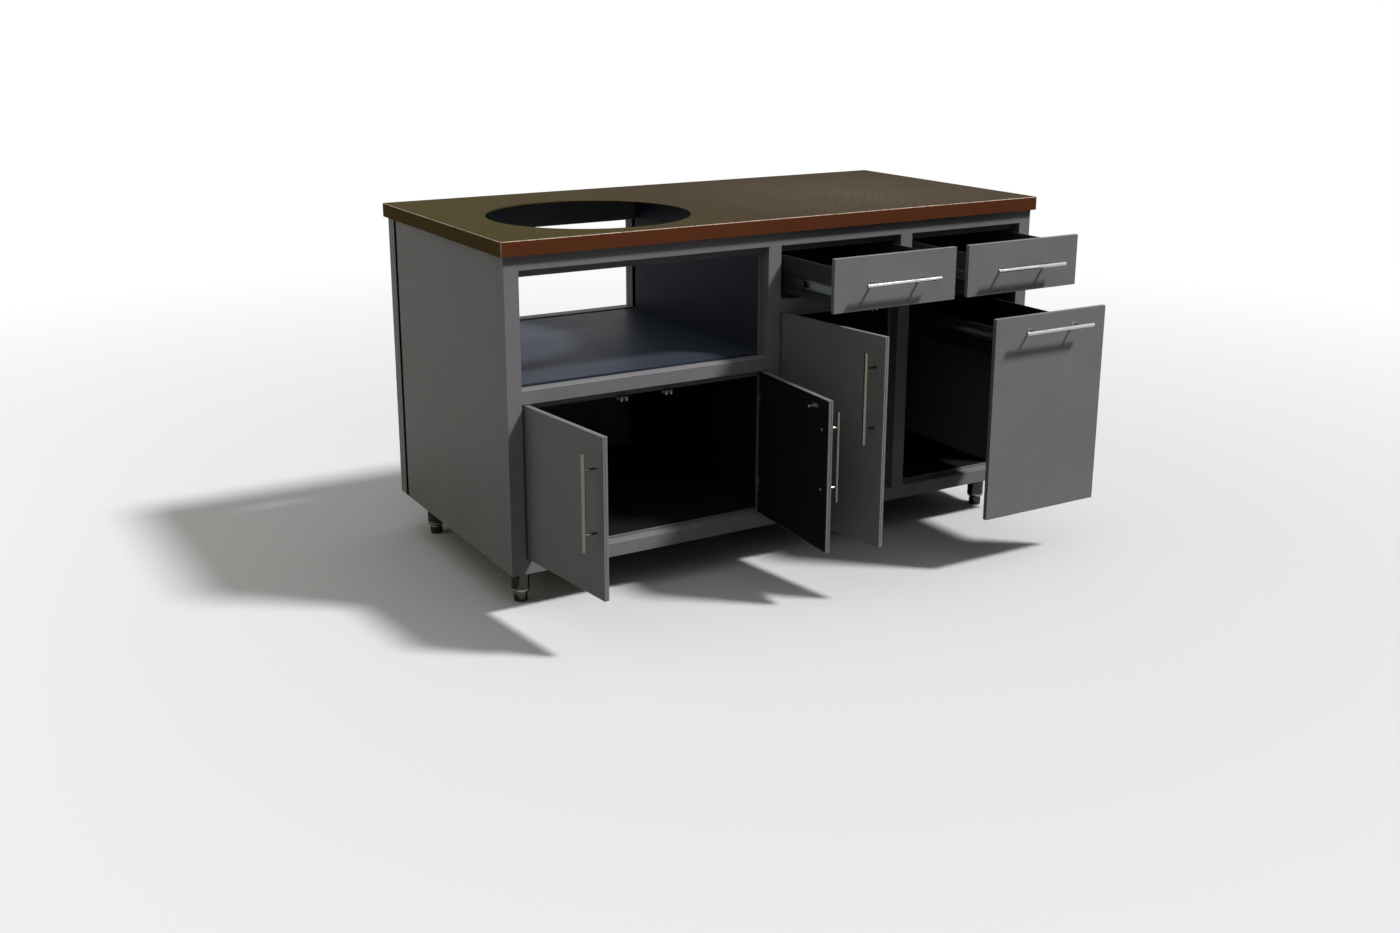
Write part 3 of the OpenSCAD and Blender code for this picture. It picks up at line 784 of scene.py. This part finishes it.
# The upright bars are a darkened copy of the level bars' steel, as a painted dark reflection.
BAR_STEEL_SHADED_UPRIGHT = Metal("satin_steel_upright_painted_dark", Slot.HANDLES, (0.170, 0.168, 0.130), (0.12, 0.2),
                          streak_depth=0.0008 * MM)
BAR_STEEL_LEVEL = Metal("satin_steel_level", Slot.HANDLES, (0.52, 0.52, 0.51), (0.12, 0.2),
                        stretch=(30.0, 900.0, 900.0), streak_depth=0.0008 * MM)
ZINC = Metal("zinc_plate", Slot.SLIDES, (0.24, 0.26, 0.26), (0.4, 0.55), ALONG_SLIDE)
# Zinc darkened as painted shade on the slide members that lie in shadow.
SHADED_ZINC = Metal("zinc_plate_painted_shade", Slot.SLIDES, (0.030, 0.032, 0.032), (0.4, 0.55), ALONG_SLIDE)
HARDWARE_ZINC = Metal("zinc_hardware", Slot.HARDWARE, (0.24, 0.25, 0.26), (0.3, 0.45))
# The catch zinc is darkened as painted shade of the place where the catches sit.
CATCH_ZINC = Metal("zinc_catch_painted_shade", Slot.CATCH, (0.05, 0.05, 0.052), (0.4, 0.55))
RUBBER = Moulded("black_rubber", Slot.LEGS, (0.02, 0.02, 0.02))
NYLON = Moulded("white_nylon", Slot.CATCH, (0.62, 0.62, 0.6), roughness=(0.3, 0.4))


@cache
def material_of(finish: Finish) -> Material:
    """Return the material of a finish, which is mixed once."""
    return finish.mix()


def deliver(piece: Object, finish: Finish, nodes: Sequence[str]) -> None:
    """Dress a finished piece, put it in the place of its nodes and report it.

    Args:
        piece: The piece, at its place.
        finish: Its finish.
        nodes: The nodes that it stands for. It rides on the body of the first.
    """
    piece.data.materials.clear()
    piece.data.materials.append(material_of(finish))
    for face in piece.data.polygons:
        face.material_index = 0
    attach(piece, BODY_OF[nodes[0]])
    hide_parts(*nodes)
    LOG.info("%s: %d faces, %s", piece.name, len(piece.data.polygons), finish.name)


def renew(node: str, name: str, finish: Finish, easing: float) -> None:
    """Deliver an eased fair copy of a node, under a name of its own, in the node's place."""
    deliver(eased(fair_copy(node, name), easing), finish, [node])


# The cabinet's main planes


@dataclass(frozen=True)
class Layout:
    """Planes that the sub-assemblies share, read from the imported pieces."""

    front: float
    front_back: float
    back: float
    back_front: float
    left: float
    right: float
    base: float
    top: float
    niche: Span
    middle: Span
    far: Span
    head: float
    niche_floor: float
    cupboard_head: float
    drawer_sill: float
    door_head: float
    sill: float
    gap: float
    thick: float

    @classmethod
    def read(cls) -> "Layout":
        """Read the planes.

        Returns:
            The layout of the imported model.
        """
        low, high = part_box("front_stiles")
        rear_low, rear_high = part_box("rear_stiles")
        shelf_low, shelf_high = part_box("niche_shelf")
        left_wall, right_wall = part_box("partition_left"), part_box("partition_right")
        deep_low, deep_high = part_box("deep_front")
        plain_low, plain_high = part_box("drawer_a_front")
        gap = deep_low.x - right_wall[1].x
        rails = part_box("front_rails")
        return cls(
            front=low.y, front_back=high.y, back=rear_high.y, back_front=rear_low.y,
            left=low.x, right=high.x, base=low.z, top=high.z,
            niche=(shelf_low.x, shelf_high.x), middle=(left_wall[1].x, right_wall[0].x),
            far=(right_wall[1].x, rails[1].x), head=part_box("stop_bars")[1].z,
            niche_floor=shelf_low.z, cupboard_head=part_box("rear_panel_left")[1].z,
            drawer_sill=plain_low.z - gap, door_head=deep_high.z + gap,
            sill=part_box("floor_pans")[0].z, gap=gap, thick=plain_high.y - plain_low.y)


class SubAssembly:
    """A group of pieces that is built and dressed together."""

    def build(self) -> None:
        """Make all pieces of the sub-assembly."""
        raise NotImplementedError


@dataclass
class Counter(SubAssembly):
    """The folded counter tray with its skirt, its hem and the round cut-out, and its stiffeners."""

    corner_radius: float = 4 * MM
    edge_radius: float = 2.8 * MM
    hem: float = 6 * MM
    sheet: float = 3 * MM
    easing: float = 0.5 * MM
    cutout_sides: int = 160

    def build(self) -> None:
        """Make the tray and the stiffeners."""
        low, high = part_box("counter_top")
        tray = block("counter", low, high)
        with picked(tray, upright, edges=True):
            bpy.ops.mesh.bevel(offset=self.corner_radius, segments=6)
        with picked(tray, lambda middle, along: middle.z > high.z - MM, edges=True):
            bpy.ops.mesh.bevel(offset=self.edge_radius, segments=4)
        with picked(tray, lambda centre, normal: normal.z < -SQUARE):
            bpy.ops.mesh.inset(thickness=self.hem)
            bpy.ops.mesh.delete(type="FACE")
        with_modifier(tray, "SOLIDIFY", thickness=self.sheet, offset=-1, use_even_offset=True)
        bore = frame["record"]["mounts"][0]
        x, y, _ = bore["pos_m"]
        cutter = rod("cutter", (x, y, low.z), (x, y, high.z + self.hem), bore["dims"]["r_mm"] * MM,
                     self.cutout_sides)
        deliver(eased(combine(tray, cutter, Join.CUT), self.easing), COUNTER_COAT, ["counter_top"])
        renew("counter_stiffeners", "counter_hats", GREY_COAT, self.easing)


@dataclass
class FaceFrame(SubAssembly):
    """The welded front frame, and the welded rear frame with the strips behind the side sheets."""

    layout: Layout
    weld_radius: float = 1.2 * MM
    strip_depth: float = 20 * MM
    strip_sheet: float = 2 * MM
    strip_easing: float = 0.4 * MM
    cut_past: float = 100 * MM

    def build(self) -> None:
        """Make both frames and the strips."""
        at = self.layout
        front = self._pierced(
            "front_frame", (at.left, at.front, at.base), (at.right, at.front_back, at.top),
            [(*at.niche, at.niche_floor, at.head), (*at.niche, at.sill, at.cupboard_head),
             (*at.middle, at.drawer_sill, at.head), (*at.middle, at.sill, at.door_head),
             (*at.far, at.drawer_sill, at.head), (*at.far, at.sill, at.door_head)])
        deliver(front, GREY_COAT, ["front_stiles", "front_rails", "inner_rails"])
        rear_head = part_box("rear_panel_right")[1].z
        rear = self._pierced(
            "rear_frame", (at.left, at.back_front, at.base), (at.right, at.back, at.top),
            [(*at.niche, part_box("niche_shelf")[1].z, rear_head), (*at.niche, at.sill, at.cupboard_head),
             (at.middle[0], at.far[1], at.sill, rear_head)])
        deliver(rear, GREY_COAT, ["rear_stiles", "rear_rails"])
        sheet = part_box("side_panel_left")[1].x - at.left
        strips = [block("strip", (x, at.back_front - self.strip_depth, at.base),
                        (x + self.strip_sheet, at.back_front, at.top))
                  for x in (at.left + sheet, at.right - sheet - self.strip_sheet)]
        # The strips are near black as painted shade behind the side sheets.
        deliver(eased(gather("edge_strips", strips), self.strip_easing), BLACK_SHADE_COAT, ["rear_stiles"])

    def _pierced(self, name: str, low: Sequence[float], high: Sequence[float],
                 openings: Sequence[tuple[float, float, float, float]]) -> Object:
        """Make a flat frame with openings.

        Args:
            name: Name of the piece.
            low: Lowest corner.
            high: Highest corner.
            openings: Left, right, lower and upper edge of each opening.

        Returns:
            The frame with eased edges.
        """
        piece = block(name, low, high)
        for left, right, lower, upper in openings:
            cutter = block("cutter", (left, low[1] - self.cut_past, lower),
                           (right, high[1] + self.cut_past, upper))
            combine(piece, cutter, Join.CUT)
        return eased(piece, self.weld_radius)


@dataclass
class Carcass(SubAssembly):
    """Sheets, partitions, floors, stop bars and base tubes inside the frames."""

    layout: Layout
    fold: float = 0.5 * MM
    stop_edge: float = 0.9 * MM

    def build(self) -> None:
        """Make every sheet of the carcass."""
        finishes: dict[PowderCoat, tuple[str, ...]] = {
            GREY_COAT: ("side_panel_left", "side_panel_right", "rear_panel_left", "rear_panel_right",
                        "base_runners"),
            # Liners and floor pans are near black as painted shade inside the cupboards.
            BLACK_SHADE_COAT: ("side_liners", "floor_pans"),
            SHELF_COAT: ("niche_shelf", "partition_right"),
            STOP_COAT: ("stop_bars",)}
        for finish, nodes in finishes.items():
            for node in nodes:
                renew(node, node + "_sheet", finish, self.stop_edge if finish is STOP_COAT else self.fold)
        self._part_wall()

    def _part_wall(self) -> None:
        """Make the partition beside the niche, which is blue grey in the niche and black below it as painted shade
        of the closed cupboard.
        """
        low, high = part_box("partition_left")
        past, seam = Vector((10 * MM, 10 * MM, 10 * MM)), self.layout.niche_floor
        low, high = low - past, high + past
        for name, finish, bottom, top in (("upper_wall", SHELF_COAT, low.z, seam),
                                          ("lower_wall", BLACK_SHADE_COAT, seam, high.z)):
            cutter = block("cutter", (low.x, low.y, bottom), (high.x, high.y, top))
            wall = combine(fair_copy("partition_left", name), cutter, Join.CUT)
            deliver(eased(wall, self.fold), finish, ["partition_left"])


@dataclass
class BarHandle:
    """A bar on two posts, with collars at the face behind it."""

    length: float
    radius: float
    reach: float
    post_spacing: float = 150 * MM
    post_radius: float = 3 * MM
    collar_radius: float = 4.5 * MM
    collar: float = 1.2 * MM
    chamfer: float = 0.8 * MM
    bar_sides: int = 40
    post_sides: int = 24

    def make(self, name: str) -> Object:
        """Make the handle along X, centred on X 0 and Z 0, on a face at Y 0 that looks to -Y.

        Args:
            name: Name of the piece.

        Returns:
            The handle.
        """
        half = self.length / 2
        bar = rod(name, (-half, -self.reach, 0), (half, -self.reach, 0), self.radius, self.bar_sides)
        bevelled(bar, self.chamfer, angle=60)
        for x in (-self.post_spacing / 2, self.post_spacing / 2):
            post = rod("post", (x, -self.reach, 0), (x, 0, 0), self.post_radius, self.post_sides)
            combine(bar, post, Join.WELD)
            combine(bar, rod("collar", (x, -self.collar, 0), (x, 0, 0), self.collar_radius), Join.WELD)
        return smooth(bar, 35)


@dataclass
class ScrewPair:
    """Two pan head screws with cross recesses, behind a handle."""

    spacing: float = 150 * MM
    head_radius: float = 4 * MM
    head: float = 2.4 * MM
    dome: float = 1.2 * MM
    shank_radius: float = 2 * MM
    recess: float = 1.4 * MM
    recess_arms: Span = (2.4 * MM, 0.5 * MM)
    shank_sides: int = 20

    def make(self, name: str, wall: float, depth: float) -> Object:
        """Make the screws, with their heads behind a wall that starts at Y 0.

        Args:
            name: Name of the piece.
            wall: Thickness of the wall under the heads.
            depth: How far the shanks reach in front of the wall.

        Returns:
            Both screws as one piece.
        """
        screws, top = [], wall + self.head
        for x in (-self.spacing / 2, self.spacing / 2):
            head = rod("head", (x, wall, 0), (x, top, 0), self.head_radius)
            with picked(head, lambda middle, along: middle.y > top - self.recess / 10, edges=True):
                bpy.ops.mesh.bevel(offset=self.dome, segments=4)
            for long, wide in (self.recess_arms, self.recess_arms[::-1]):
                arm = block("recess", (x - long, top - self.recess, -wide), (x + long, top + MM, wide))
                combine(head, arm, Join.CUT)
            shank = rod("shank", (x, -depth, 0), (x, wall + MM, 0), self.shank_radius, self.shank_sides)
            combine(head, shank, Join.WELD)
            screws.append(head)
        return smooth(gather(name, screws), 35)


@dataclass
class CladPanel:
    """A folded skin over an inner pan, with a seam between them and a cover plate let into the back."""

    skin: float = 4.2 * MM
    seam: float = 1.4 * MM
    seam_depth: float = 1.0 * MM
    fold_radius: float = 0.6 * MM
    lip: float = 1.6 * MM
    depth: float = 1.0 * MM
    play: float = 0.35 * MM
    cover_edge: float = 0.3 * MM

    def make(self, name: str, low: Vector, high: Vector) -> tuple[Object, Object]:
        """Make the panel.

        Args:
            name: Name of the tray.
            low: Lowest corner, on the face that looks to -Y.
            high: Highest corner.

        Returns:
            The tray and its cover.
        """
        size, middle = high - low, (low + high) / 2
        tray = block(name, (low.x, low.y + self.skin + self.seam, low.z), high)
        with picked(tray, lambda centre, normal: normal.y < -SQUARE):
            bpy.ops.mesh.inset(thickness=self.seam_depth)
            extrude(0, -self.seam, 0)
            extrude(0, 0, 0)
            wider = [side / (side - 2 * self.seam_depth) for side in (size.x, size.z)]
            bpy.ops.transform.resize(value=(wider[0], 1, wider[1]),
                                     center_override=(middle.x, low.y + self.skin, middle.z))
            extrude(0, -self.skin, 0)
        with picked(tray, lambda centre, normal: normal.y > SQUARE and centre.y > high.y - MM):
            bpy.ops.mesh.inset(thickness=self.lip)
            extrude(0, -self.depth, 0)
        eased(tray, self.fold_radius, 3)
        inset = Vector((self.lip + self.play, 0, self.lip + self.play))
        cover_low, cover_high = low + inset, high - inset
        cover_low.y = high.y - self.depth
        return tray, eased(block(name + "_cover", cover_low, cover_high), self.cover_edge)


def joint_of(body: str) -> dict:
    """Return the joint that carries a body."""
    return next(joint for joint in frame["joints"] if joint["child"] == body)


@dataclass
class Door(SubAssembly):
    """A hinged door with its handle, screws, hinges and strike plate."""

    side: str
    layout: Layout
    opening: Span
    hand: int
    handle_inset: float = 30 * MM
    handle_reach: float = 33 * MM
    handle_radius: float = 5 * MM
    shank: float = 8 * MM
    notch_inset: float = 80 * MM
    notch_half: float = 17 * MM
    notch_depth: float = 13 * MM
    notch_skin: float = 1.2 * MM
    plate_edge: float = 0.25 * MM

    def build(self) -> None:
        """Make the leaf, its cover and what is fixed to them."""
        gap, thick = self.layout.gap, self.layout.thick
        bottom, top = (corner.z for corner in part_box(f"door_{self.side}"))
        free_edge = gap + self.leaf_width()
        leaf = CladPanel().make(f"leaf_{self.side}", Vector((gap, 0, bottom)), Vector((free_edge, thick, top)))
        for piece, finish in zip(leaf, (GREY_COAT, BLACK_SHADE_COAT)):
            for z in (bottom + self.notch_inset, top - self.notch_inset):
                notch = block("notch", (gap - MM, self.notch_skin, z - self.notch_half),
                              (gap + self.notch_depth, thick + MM, z + self.notch_half))
                combine(piece, notch, Join.CUT)
            deliver(self._placed(smooth(piece)), finish, [f"door_{self.side}"])
        self._fit_handle(free_edge, thick)
        for node in (f"hinge_leaves_{self.side}", f"strike_{self.side}"):
            renew(node, node + "_plate", HARDWARE_ZINC, self.plate_edge)

    def leaf_width(self) -> float:
        """Return the width of the leaf, from its share of the opening."""
        return self.opening[1] - self.opening[0] - 2 * self.layout.gap

    def hinge_side(self) -> float:
        """Return where along X the opening ends on the hinge side."""
        return self.opening[0] if self.hand > 0 else self.opening[1]

    def _placed(self, piece: Object) -> Object:
        """Swing a piece that was made for a closed, left hinged door at X 0 and Y 0 to its rest place.

        Args:
            piece: The piece.

        Returns:
            The same piece.
        """
        joint = joint_of(f"door_{self.side}_body")
        pin = Vector((*joint["pos_m"][:2], 0))
        angle = math.radians(joint["range_deg"][0]) * self.hand
        swing = Matrix.Translation(pin) @ Matrix.Rotation(angle, 4, "Z") @ Matrix.Translation(-pin)
        closed = Matrix.Translation((self.hinge_side(), self.layout.front, 0))
        piece.data.transform(swing @ closed @ Matrix.Diagonal((self.hand, 1, 1, 1)))
        return with_faces_outward(piece) if self.hand < 0 else piece

    def _fit_handle(self, free_edge: float, thick: float) -> None:
        """Make the upright bar handle and its screws.

        Args:
            free_edge: Distance of the free edge from the hinge side.
            thick: Thickness of the leaf.
        """
        low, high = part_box(f"handle_{self.side}")
        middle = Matrix.Translation((free_edge - self.handle_inset, 0, (low.z + high.z) / 2))
        upended = middle @ Matrix.Rotation(math.radians(90), 4, "Y")
        bar = BarHandle(high.z - low.z, self.handle_radius, self.handle_reach).make(f"bar_{self.side}")
        screws = ScrewPair().make(f"screw_pair_{self.side}", thick, self.shank)
        for piece, finish, kind in ((bar, BAR_STEEL_SHADED_UPRIGHT, "handle"), (screws, HARDWARE_ZINC, "screws")):
            piece.data.transform(upended)
            deliver(self._placed(piece), finish, [f"{kind}_{self.side}"])


@dataclass
class PairDoor(Door):
    """One of two doors that share an opening."""

    def leaf_width(self) -> float:
        """Return the width of one of the two leaves."""
        return (self.opening[1] - self.opening[0] - 3 * self.layout.gap) / 2


@dataclass
class Drawer(SubAssembly):
    """A drawer: its front, its box, its handle and screws, and its slide members."""

    name: str
    runner: Metal = ZINC
    sheet: float = 1.5 * MM
    hem: float = 2.6 * MM
    hem_depth: float = 9 * MM
    box_edge: float = 0.4 * MM
    slide_edge: float = 0.35 * MM
    channel_edge: float = 0.5 * MM

    def build(self) -> None:
        """Make the pieces of the drawer."""
        front, channels = f"{self.name}_front", f"{self.name}_channels"
        tray, cover = CladPanel().make(f"{self.name}_face", *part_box(front))
        deliver(tray, GREY_COAT, [front])
        deliver(cover, BLACK_SHADE_COAT, [front])
        self._make_box()
        self._make_handle()
        for node, finish in ((f"{self.name}_slide_inner", self.runner), (f"{self.name}_slide_mid", SHADED_ZINC)):
            renew(node, node + "_rails", finish, self.slide_edge)
        if channels in frame["nodes"]:
            renew(channels, channels + "_arms", BLACK_SHADE_COAT, self.channel_edge)

    def _make_box(self) -> None:
        """Make the open box with a hem round its rim."""
        low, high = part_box(f"{self.name}_box")
        size, middle = high - low, (low + high) / 2
        box = block(f"{self.name}_tray", low, high)
        with picked(box, lambda centre, normal: normal.z > SQUARE):
            bpy.ops.mesh.inset(thickness=self.hem)
            extrude(0, 0, -self.hem_depth)
            extrude(0, 0, 0)
            wider = [(side - 2 * self.sheet) / (side - 2 * self.hem) for side in size.xy]
            bpy.ops.transform.resize(value=(*wider, 1),
                                     center_override=(middle.x, middle.y, high.z - self.hem_depth))
            extrude(0, 0, self.hem_depth + self.sheet - size.z)
        deliver(eased(box, self.box_edge), DARK_COAT, [f"{self.name}_box"])

    def _make_handle(self) -> None:
        """Make the level bar handle and its screws."""
        handle, screws = f"{self.name}_handle", f"{self.name}_screws"
        low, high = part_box(handle)
        screw_low, screw_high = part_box(screws)
        radius = (high.z - low.z) / 2
        bar = BarHandle(high.x - low.x, radius, high.y - low.y - radius).make(f"{self.name}_bar")
        pair = ScrewPair()
        wall = screw_high.y - pair.head - high.y
        screw_pair = pair.make(f"{self.name}_screw_pair", wall, high.y - screw_low.y)
        face = Matrix.Translation(((low.x + high.x) / 2, high.y, (low.z + high.z) / 2))
        for piece, finish, node in ((bar, BAR_STEEL_LEVEL, handle), (screw_pair, HARDWARE_ZINC, screws)):
            piece.data.transform(face)
            deliver(piece, finish, [node])


@dataclass
class Hardware(SubAssembly):
    """What is fixed to the cabinet for doors and drawers: slides, hinge halves and catches."""

    layout: Layout
    doors: Sequence[Door]
    inset: float = 62 * MM
    roller_radius: float = 3.25 * MM
    roller_spacing: float = 13.6 * MM
    roller_chamfer: Span = (0.4 * MM, 0.5 * MM)
    groove: float = 0.4 * MM
    groove_shares: tuple[float, float, float] = (0.45, 0.5, 0.55)
    roller_sides: int = 24
    roller_sink: float = 0.1 * MM
    stop: float = 20 * MM
    plate: float = 2.2 * MM
    back: float = 8.5 * MM
    channel_edge: float = 0.4 * MM
    plate_edge: float = 0.25 * MM

    def build(self) -> None:
        """Make the fixed hardware."""
        renew("slide_outers", "slide_channels", SHADED_ZINC, self.channel_edge)
        renew("hinge_frame_leaves", "hinge_arms", HARDWARE_ZINC, self.plate_edge)
        renew("catches", "catch_plates", CATCH_ZINC, self.plate_edge)
        rollers = [roller for door in self.doors for roller in self._rollers(door)]
        deliver(gather("catch_rollers", rollers), NYLON, ["catches"])

    def _rollers(self, door: Door) -> list[Object]:
        """Make the two rollers of a door's catch.

        Args:
            door: The door.

        Returns:
            The rollers, with a groove round their middle.
        """
        at, r = self.layout, self.roller_radius
        middle = door.hinge_side() + door.hand * (at.gap + door.leaf_width() - self.inset)
        hang = at.cupboard_head - self.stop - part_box("catches")[0].z
        low = (at.cupboard_head if door.opening == at.niche else at.door_head) - self.stop - hang
        height, (rise, chamfer) = hang - self.plate, self.roller_chamfer
        grooved = zip(self.groove_shares, (r, r - self.groove, r))
        profile = [(0, r - chamfer), (rise, r), *((height * share, out) for share, out in grooved),
                   (height, r)]
        y, foot = at.front + at.thick + self.back, low - self.roller_sink
        return [smooth(turned("roller", (middle + x, y, foot), profile, self.roller_sides))
                for x in (-self.roller_spacing / 2, self.roller_spacing / 2)]


def profile_of(steps: Profile, height: float, radius: float) -> list[Span]:
    """Return steps of height and radius in millimetres as a profile from a height and a radius."""
    return [(height + up * MM, radius + out * MM) for up, out in steps]


@dataclass
class Legs(SubAssembly):
    """Chrome legs with their rings and plates, and the levelling feet. Steps are in millimetres."""

    radius: float = 23 * MM
    plate: float = 90 * MM
    plate_sheet: float = 4 * MM
    plate_corner: float = 8 * MM
    plate_edge: float = 0.5 * MM
    gap: float = 26 * MM
    foot_radius: float = 17 * MM
    screw_radius: float = 8 * MM
    ring_sheet: float = 0.3 * MM
    sides: int = 64
    ring_steps: Profile = ((1, -2.4), (2, -1.2), (5.5, -0.4), (6.2, 0), (8.4, 0), (9, -0.6))
    leg_steps: Profile = ((0, -3), (1, -2), (6, -0.6), (7, 0), (9.5, 0), (10, -0.7), (11, -0.7), (11.5, 0))
    sole_steps: Profile = ((0, -3), (1.2, -0.8), (2.4, 0), (5, 0))
    foot_steps: Profile = ((5, -0.6), (5.6, 0), (19.7, 0), (21.7, -1), (24.5, -1.6), (25.7, -3))

    def build(self) -> None:
        """Make four legs and four feet."""
        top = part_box("legs")[1].z
        parts, rings = [], []
        ring_profile = profile_of(self.ring_steps, self.gap, self.radius + self.ring_sheet)
        for corner in CORNERS:
            low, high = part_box(f"foot_{corner}")
            centre = Vector(((low.x + high.x) / 2, (low.y + high.y) / 2, 0))
            parts += self._leg(centre, top)
            rings.append(smooth(turned("ring", centre, ring_profile, self.sides)))
            self._foot(corner, centre, high.z)
        deliver(gather("leg_tubes", parts), CHROME, ["legs"])
        deliver(gather("leg_rings", rings), RING_HIGHLIGHT_CHROME, ["legs"])

    def _leg(self, centre: Vector, top: float) -> list[Object]:
        """Make one leg.

        Args:
            centre: Middle of the leg on the floor.
            top: Height of the top of its plate.

        Returns:
            The tube and its plate.
        """
        under = top - self.plate_sheet
        profile = [*profile_of(self.leg_steps, self.gap, self.radius), (under, self.radius)]
        tube = smooth(turned("tube", centre, profile, self.sides))
        half = self.plate / 2
        plate = block("plate", centre + Vector((-half, -half, under)), centre + Vector((half, half, top)))
        with picked(plate, upright, edges=True):
            bpy.ops.mesh.bevel(offset=self.plate_corner, segments=6)
        return [tube, eased(plate, self.plate_edge)]

    def _foot(self, corner: str, centre: Vector, top: float) -> None:
        """Make one levelling foot and its rubber sole.

        Args:
            corner: Where the foot is.
            centre: Middle of the foot on the floor.
            top: Top of its screw.
        """
        sole = profile_of(self.sole_steps, 0, self.foot_radius)
        steel = profile_of(self.foot_steps, 0, self.foot_radius)
        steel += [(steel[-1][0], self.screw_radius), (top, self.screw_radius)]
        for name, profile, finish in (("sole", sole, RUBBER), ("levelling_foot", steel, CHROME)):
            deliver(smooth(turned(f"{name}_{corner}", centre, profile)), finish, [f"foot_{corner}"])


@dataclass
class Studio:
    """The floor, the white background, the lights and the camera."""

    key_place: Vector = Vector((2, -2, 3))
    key_travel: Vector = Vector((-0.68, 0.56, -1.0))
    key_power: float = 3.1
    key_softness: float = 8.0
    key_colour: Colour = (1.0, 0.975, 0.99)
    side_place: Vector = Vector((-3.3, 0.9, 1.0))
    side_aim: Vector = Vector((-0.6, -0.3, 0.5))
    side_power: float = 8.0
    side_size: float = 1.8
    side_lit_colour: Colour = (1.0, 0.98, 0.70)
    fill: float = 0.72
    fill_power: float = 2.0
    floor_size: float = 120.0
    floor_colour: Colour = (0.74, 0.74, 0.74)
    floor_fade: Span = (1.6, 4.5)
    bounce_colour: Colour = (0.15, 0.15, 0.15)
    camera_place: Vector = Vector((-2.1263, -3.4583, 1.4339))
    camera_down: float = 14.854
    camera_azimuth: float = 30.256
    focal_px: float = 1489.58
    principal: Span = (680.34, 397.16)
    picture: tuple[int, int] = (1400, 933)
    sensor: float = 36.0

    def set_up(self) -> None:
        """Make the whole studio."""
        bpy.context.scene.view_settings.view_transform = "Standard"
        self._make_camera()
        key = self._lamp("SUN", self.key_place, self.key_travel, self.key_power, self.key_colour)
        key.angle = math.radians(self.key_softness)
        side = self._lamp("AREA", self.side_place, self.side_aim - self.side_place, self.side_power,
                          self.side_lit_colour)
        side.size = self.side_size
        self._make_world()
        self._make_floor()

    def _make_camera(self) -> None:
        """Add the camera of the picture."""
        bpy.ops.object.camera_add(
            location=self.camera_place,
            rotation=(math.radians(90 - self.camera_down), 0, math.radians(-self.camera_azimuth)))
        camera = bpy.context.object
        width, height = self.picture
        camera.data.sensor_width = self.sensor
        camera.data.lens = self.focal_px * self.sensor / width
        camera.data.shift_x = (width / 2 - self.principal[0]) / width
        camera.data.shift_y = (self.principal[1] - height / 2) / width
        camera.data.dof.use_dof = False
        bpy.context.scene.camera = camera

    @staticmethod
    def _lamp(kind: str, place: Vector, travel: Vector, power: float, colour: Colour) -> Light:
        """Add a lamp.

        Args:
            kind: Kind of lamp.
            place: Where it hangs.
            travel: The way that its light travels.
            power: Its power.
            colour: Its colour.

        Returns:
            The lamp's data.
        """
        bpy.ops.object.light_add(type=kind, location=place)
        lamp = bpy.context.object
        lamp.rotation_euler = travel.to_track_quat("-Z", "Y").to_euler()
        lamp.data.energy = power
        lamp.data.color = colour
        return lamp.data

    @staticmethod
    def _bare(owner: Material | World) -> Wiring:
        """Take every node out of a material or a world.

        Args:
            owner: The material or world.

        Returns:
            Its empty wiring.
        """
        owner.use_nodes = True
        owner.node_tree.nodes.clear()
        return Wiring(owner.node_tree)

    def _make_world(self) -> None:
        """Light the world softly from above, and show it white to the camera and in reflections."""
        bpy.context.scene.world = world = bpy.data.worlds.new("studio")
        wires = self._bare(world)
        path = wires.put("LightPath").outputs
        seen = wires.math("MAXIMUM", path["Is Camera Ray"],
                          wires.math("MAXIMUM", path["Is Glossy Ray"], path["Is Transmission Ray"]))
        height = wires.math("MAXIMUM", wires.parts(wires.put("TexCoord").outputs["Generated"])["Z"], 0.0)
        overhead = wires.times(wires.math("POWER", height, self.fill_power), self.fill)
        light = wires.put("Background", {"Color": (1.0, 1.0, 1.0, 1.0),
                                         "Strength": wires.math("MAXIMUM", seen, overhead)})
        wires.put("OutputWorld", {"Surface": light.outputs[0]})

    def _make_floor(self) -> None:
        """Lay the pale floor, which turns white away from the island."""
        bpy.ops.mesh.primitive_plane_add(size=self.floor_size)
        floor = bpy.context.object
        floor.name = "floor"
        material = bpy.data.materials.new("pale_floor")
        wires = self._bare(material)
        away = wires.distance(wires.put("TexCoord").outputs["Object"], (0.0, 0.0, 0.0))
        path = wires.put("LightPath").outputs
        white = wires.times(wires.spread(away, self.floor_fade), path["Is Camera Ray"])
        colour = wires.blend(path["Is Diffuse Ray"], rgba(self.floor_colour), rgba(self.bounce_colour))
        shade = wires.put("BsdfDiffuse", {"Color": colour})
        glow = wires.put("Emission", {"Color": (1.0, 1.0, 1.0, 1.0), "Strength": 1.0})
        mixed = wires.put("MixShader", {0: white, 1: shade.outputs[0], 2: glow.outputs[0]})
        wires.put("OutputMaterial", {"Surface": mixed.outputs[0]})
        floor.data.materials.append(material)


def main() -> None:
    """Build the studio and every sub-assembly in order."""
    logging.basicConfig(level=logging.INFO, format="%(message)s")
    layout = Layout.read()
    Studio().set_up()
    doors = [PairDoor("left", layout, layout.niche, 1), PairDoor("right", layout, layout.niche, -1),
             Door("mid", layout, layout.middle, 1)]
    sub_assemblies: list[SubAssembly] = [
        Counter(),
        FaceFrame(layout),
        Carcass(layout),
        Hardware(layout, doors),
        *doors,
        Drawer("drawer_a"),
        Drawer("drawer_b"),
        Drawer("deep", SHADED_ZINC),
        Legs(),
    ]
    for sub_assembly in sub_assemblies:
        sub_assembly.build()


if __name__ == "__main__":
    main()
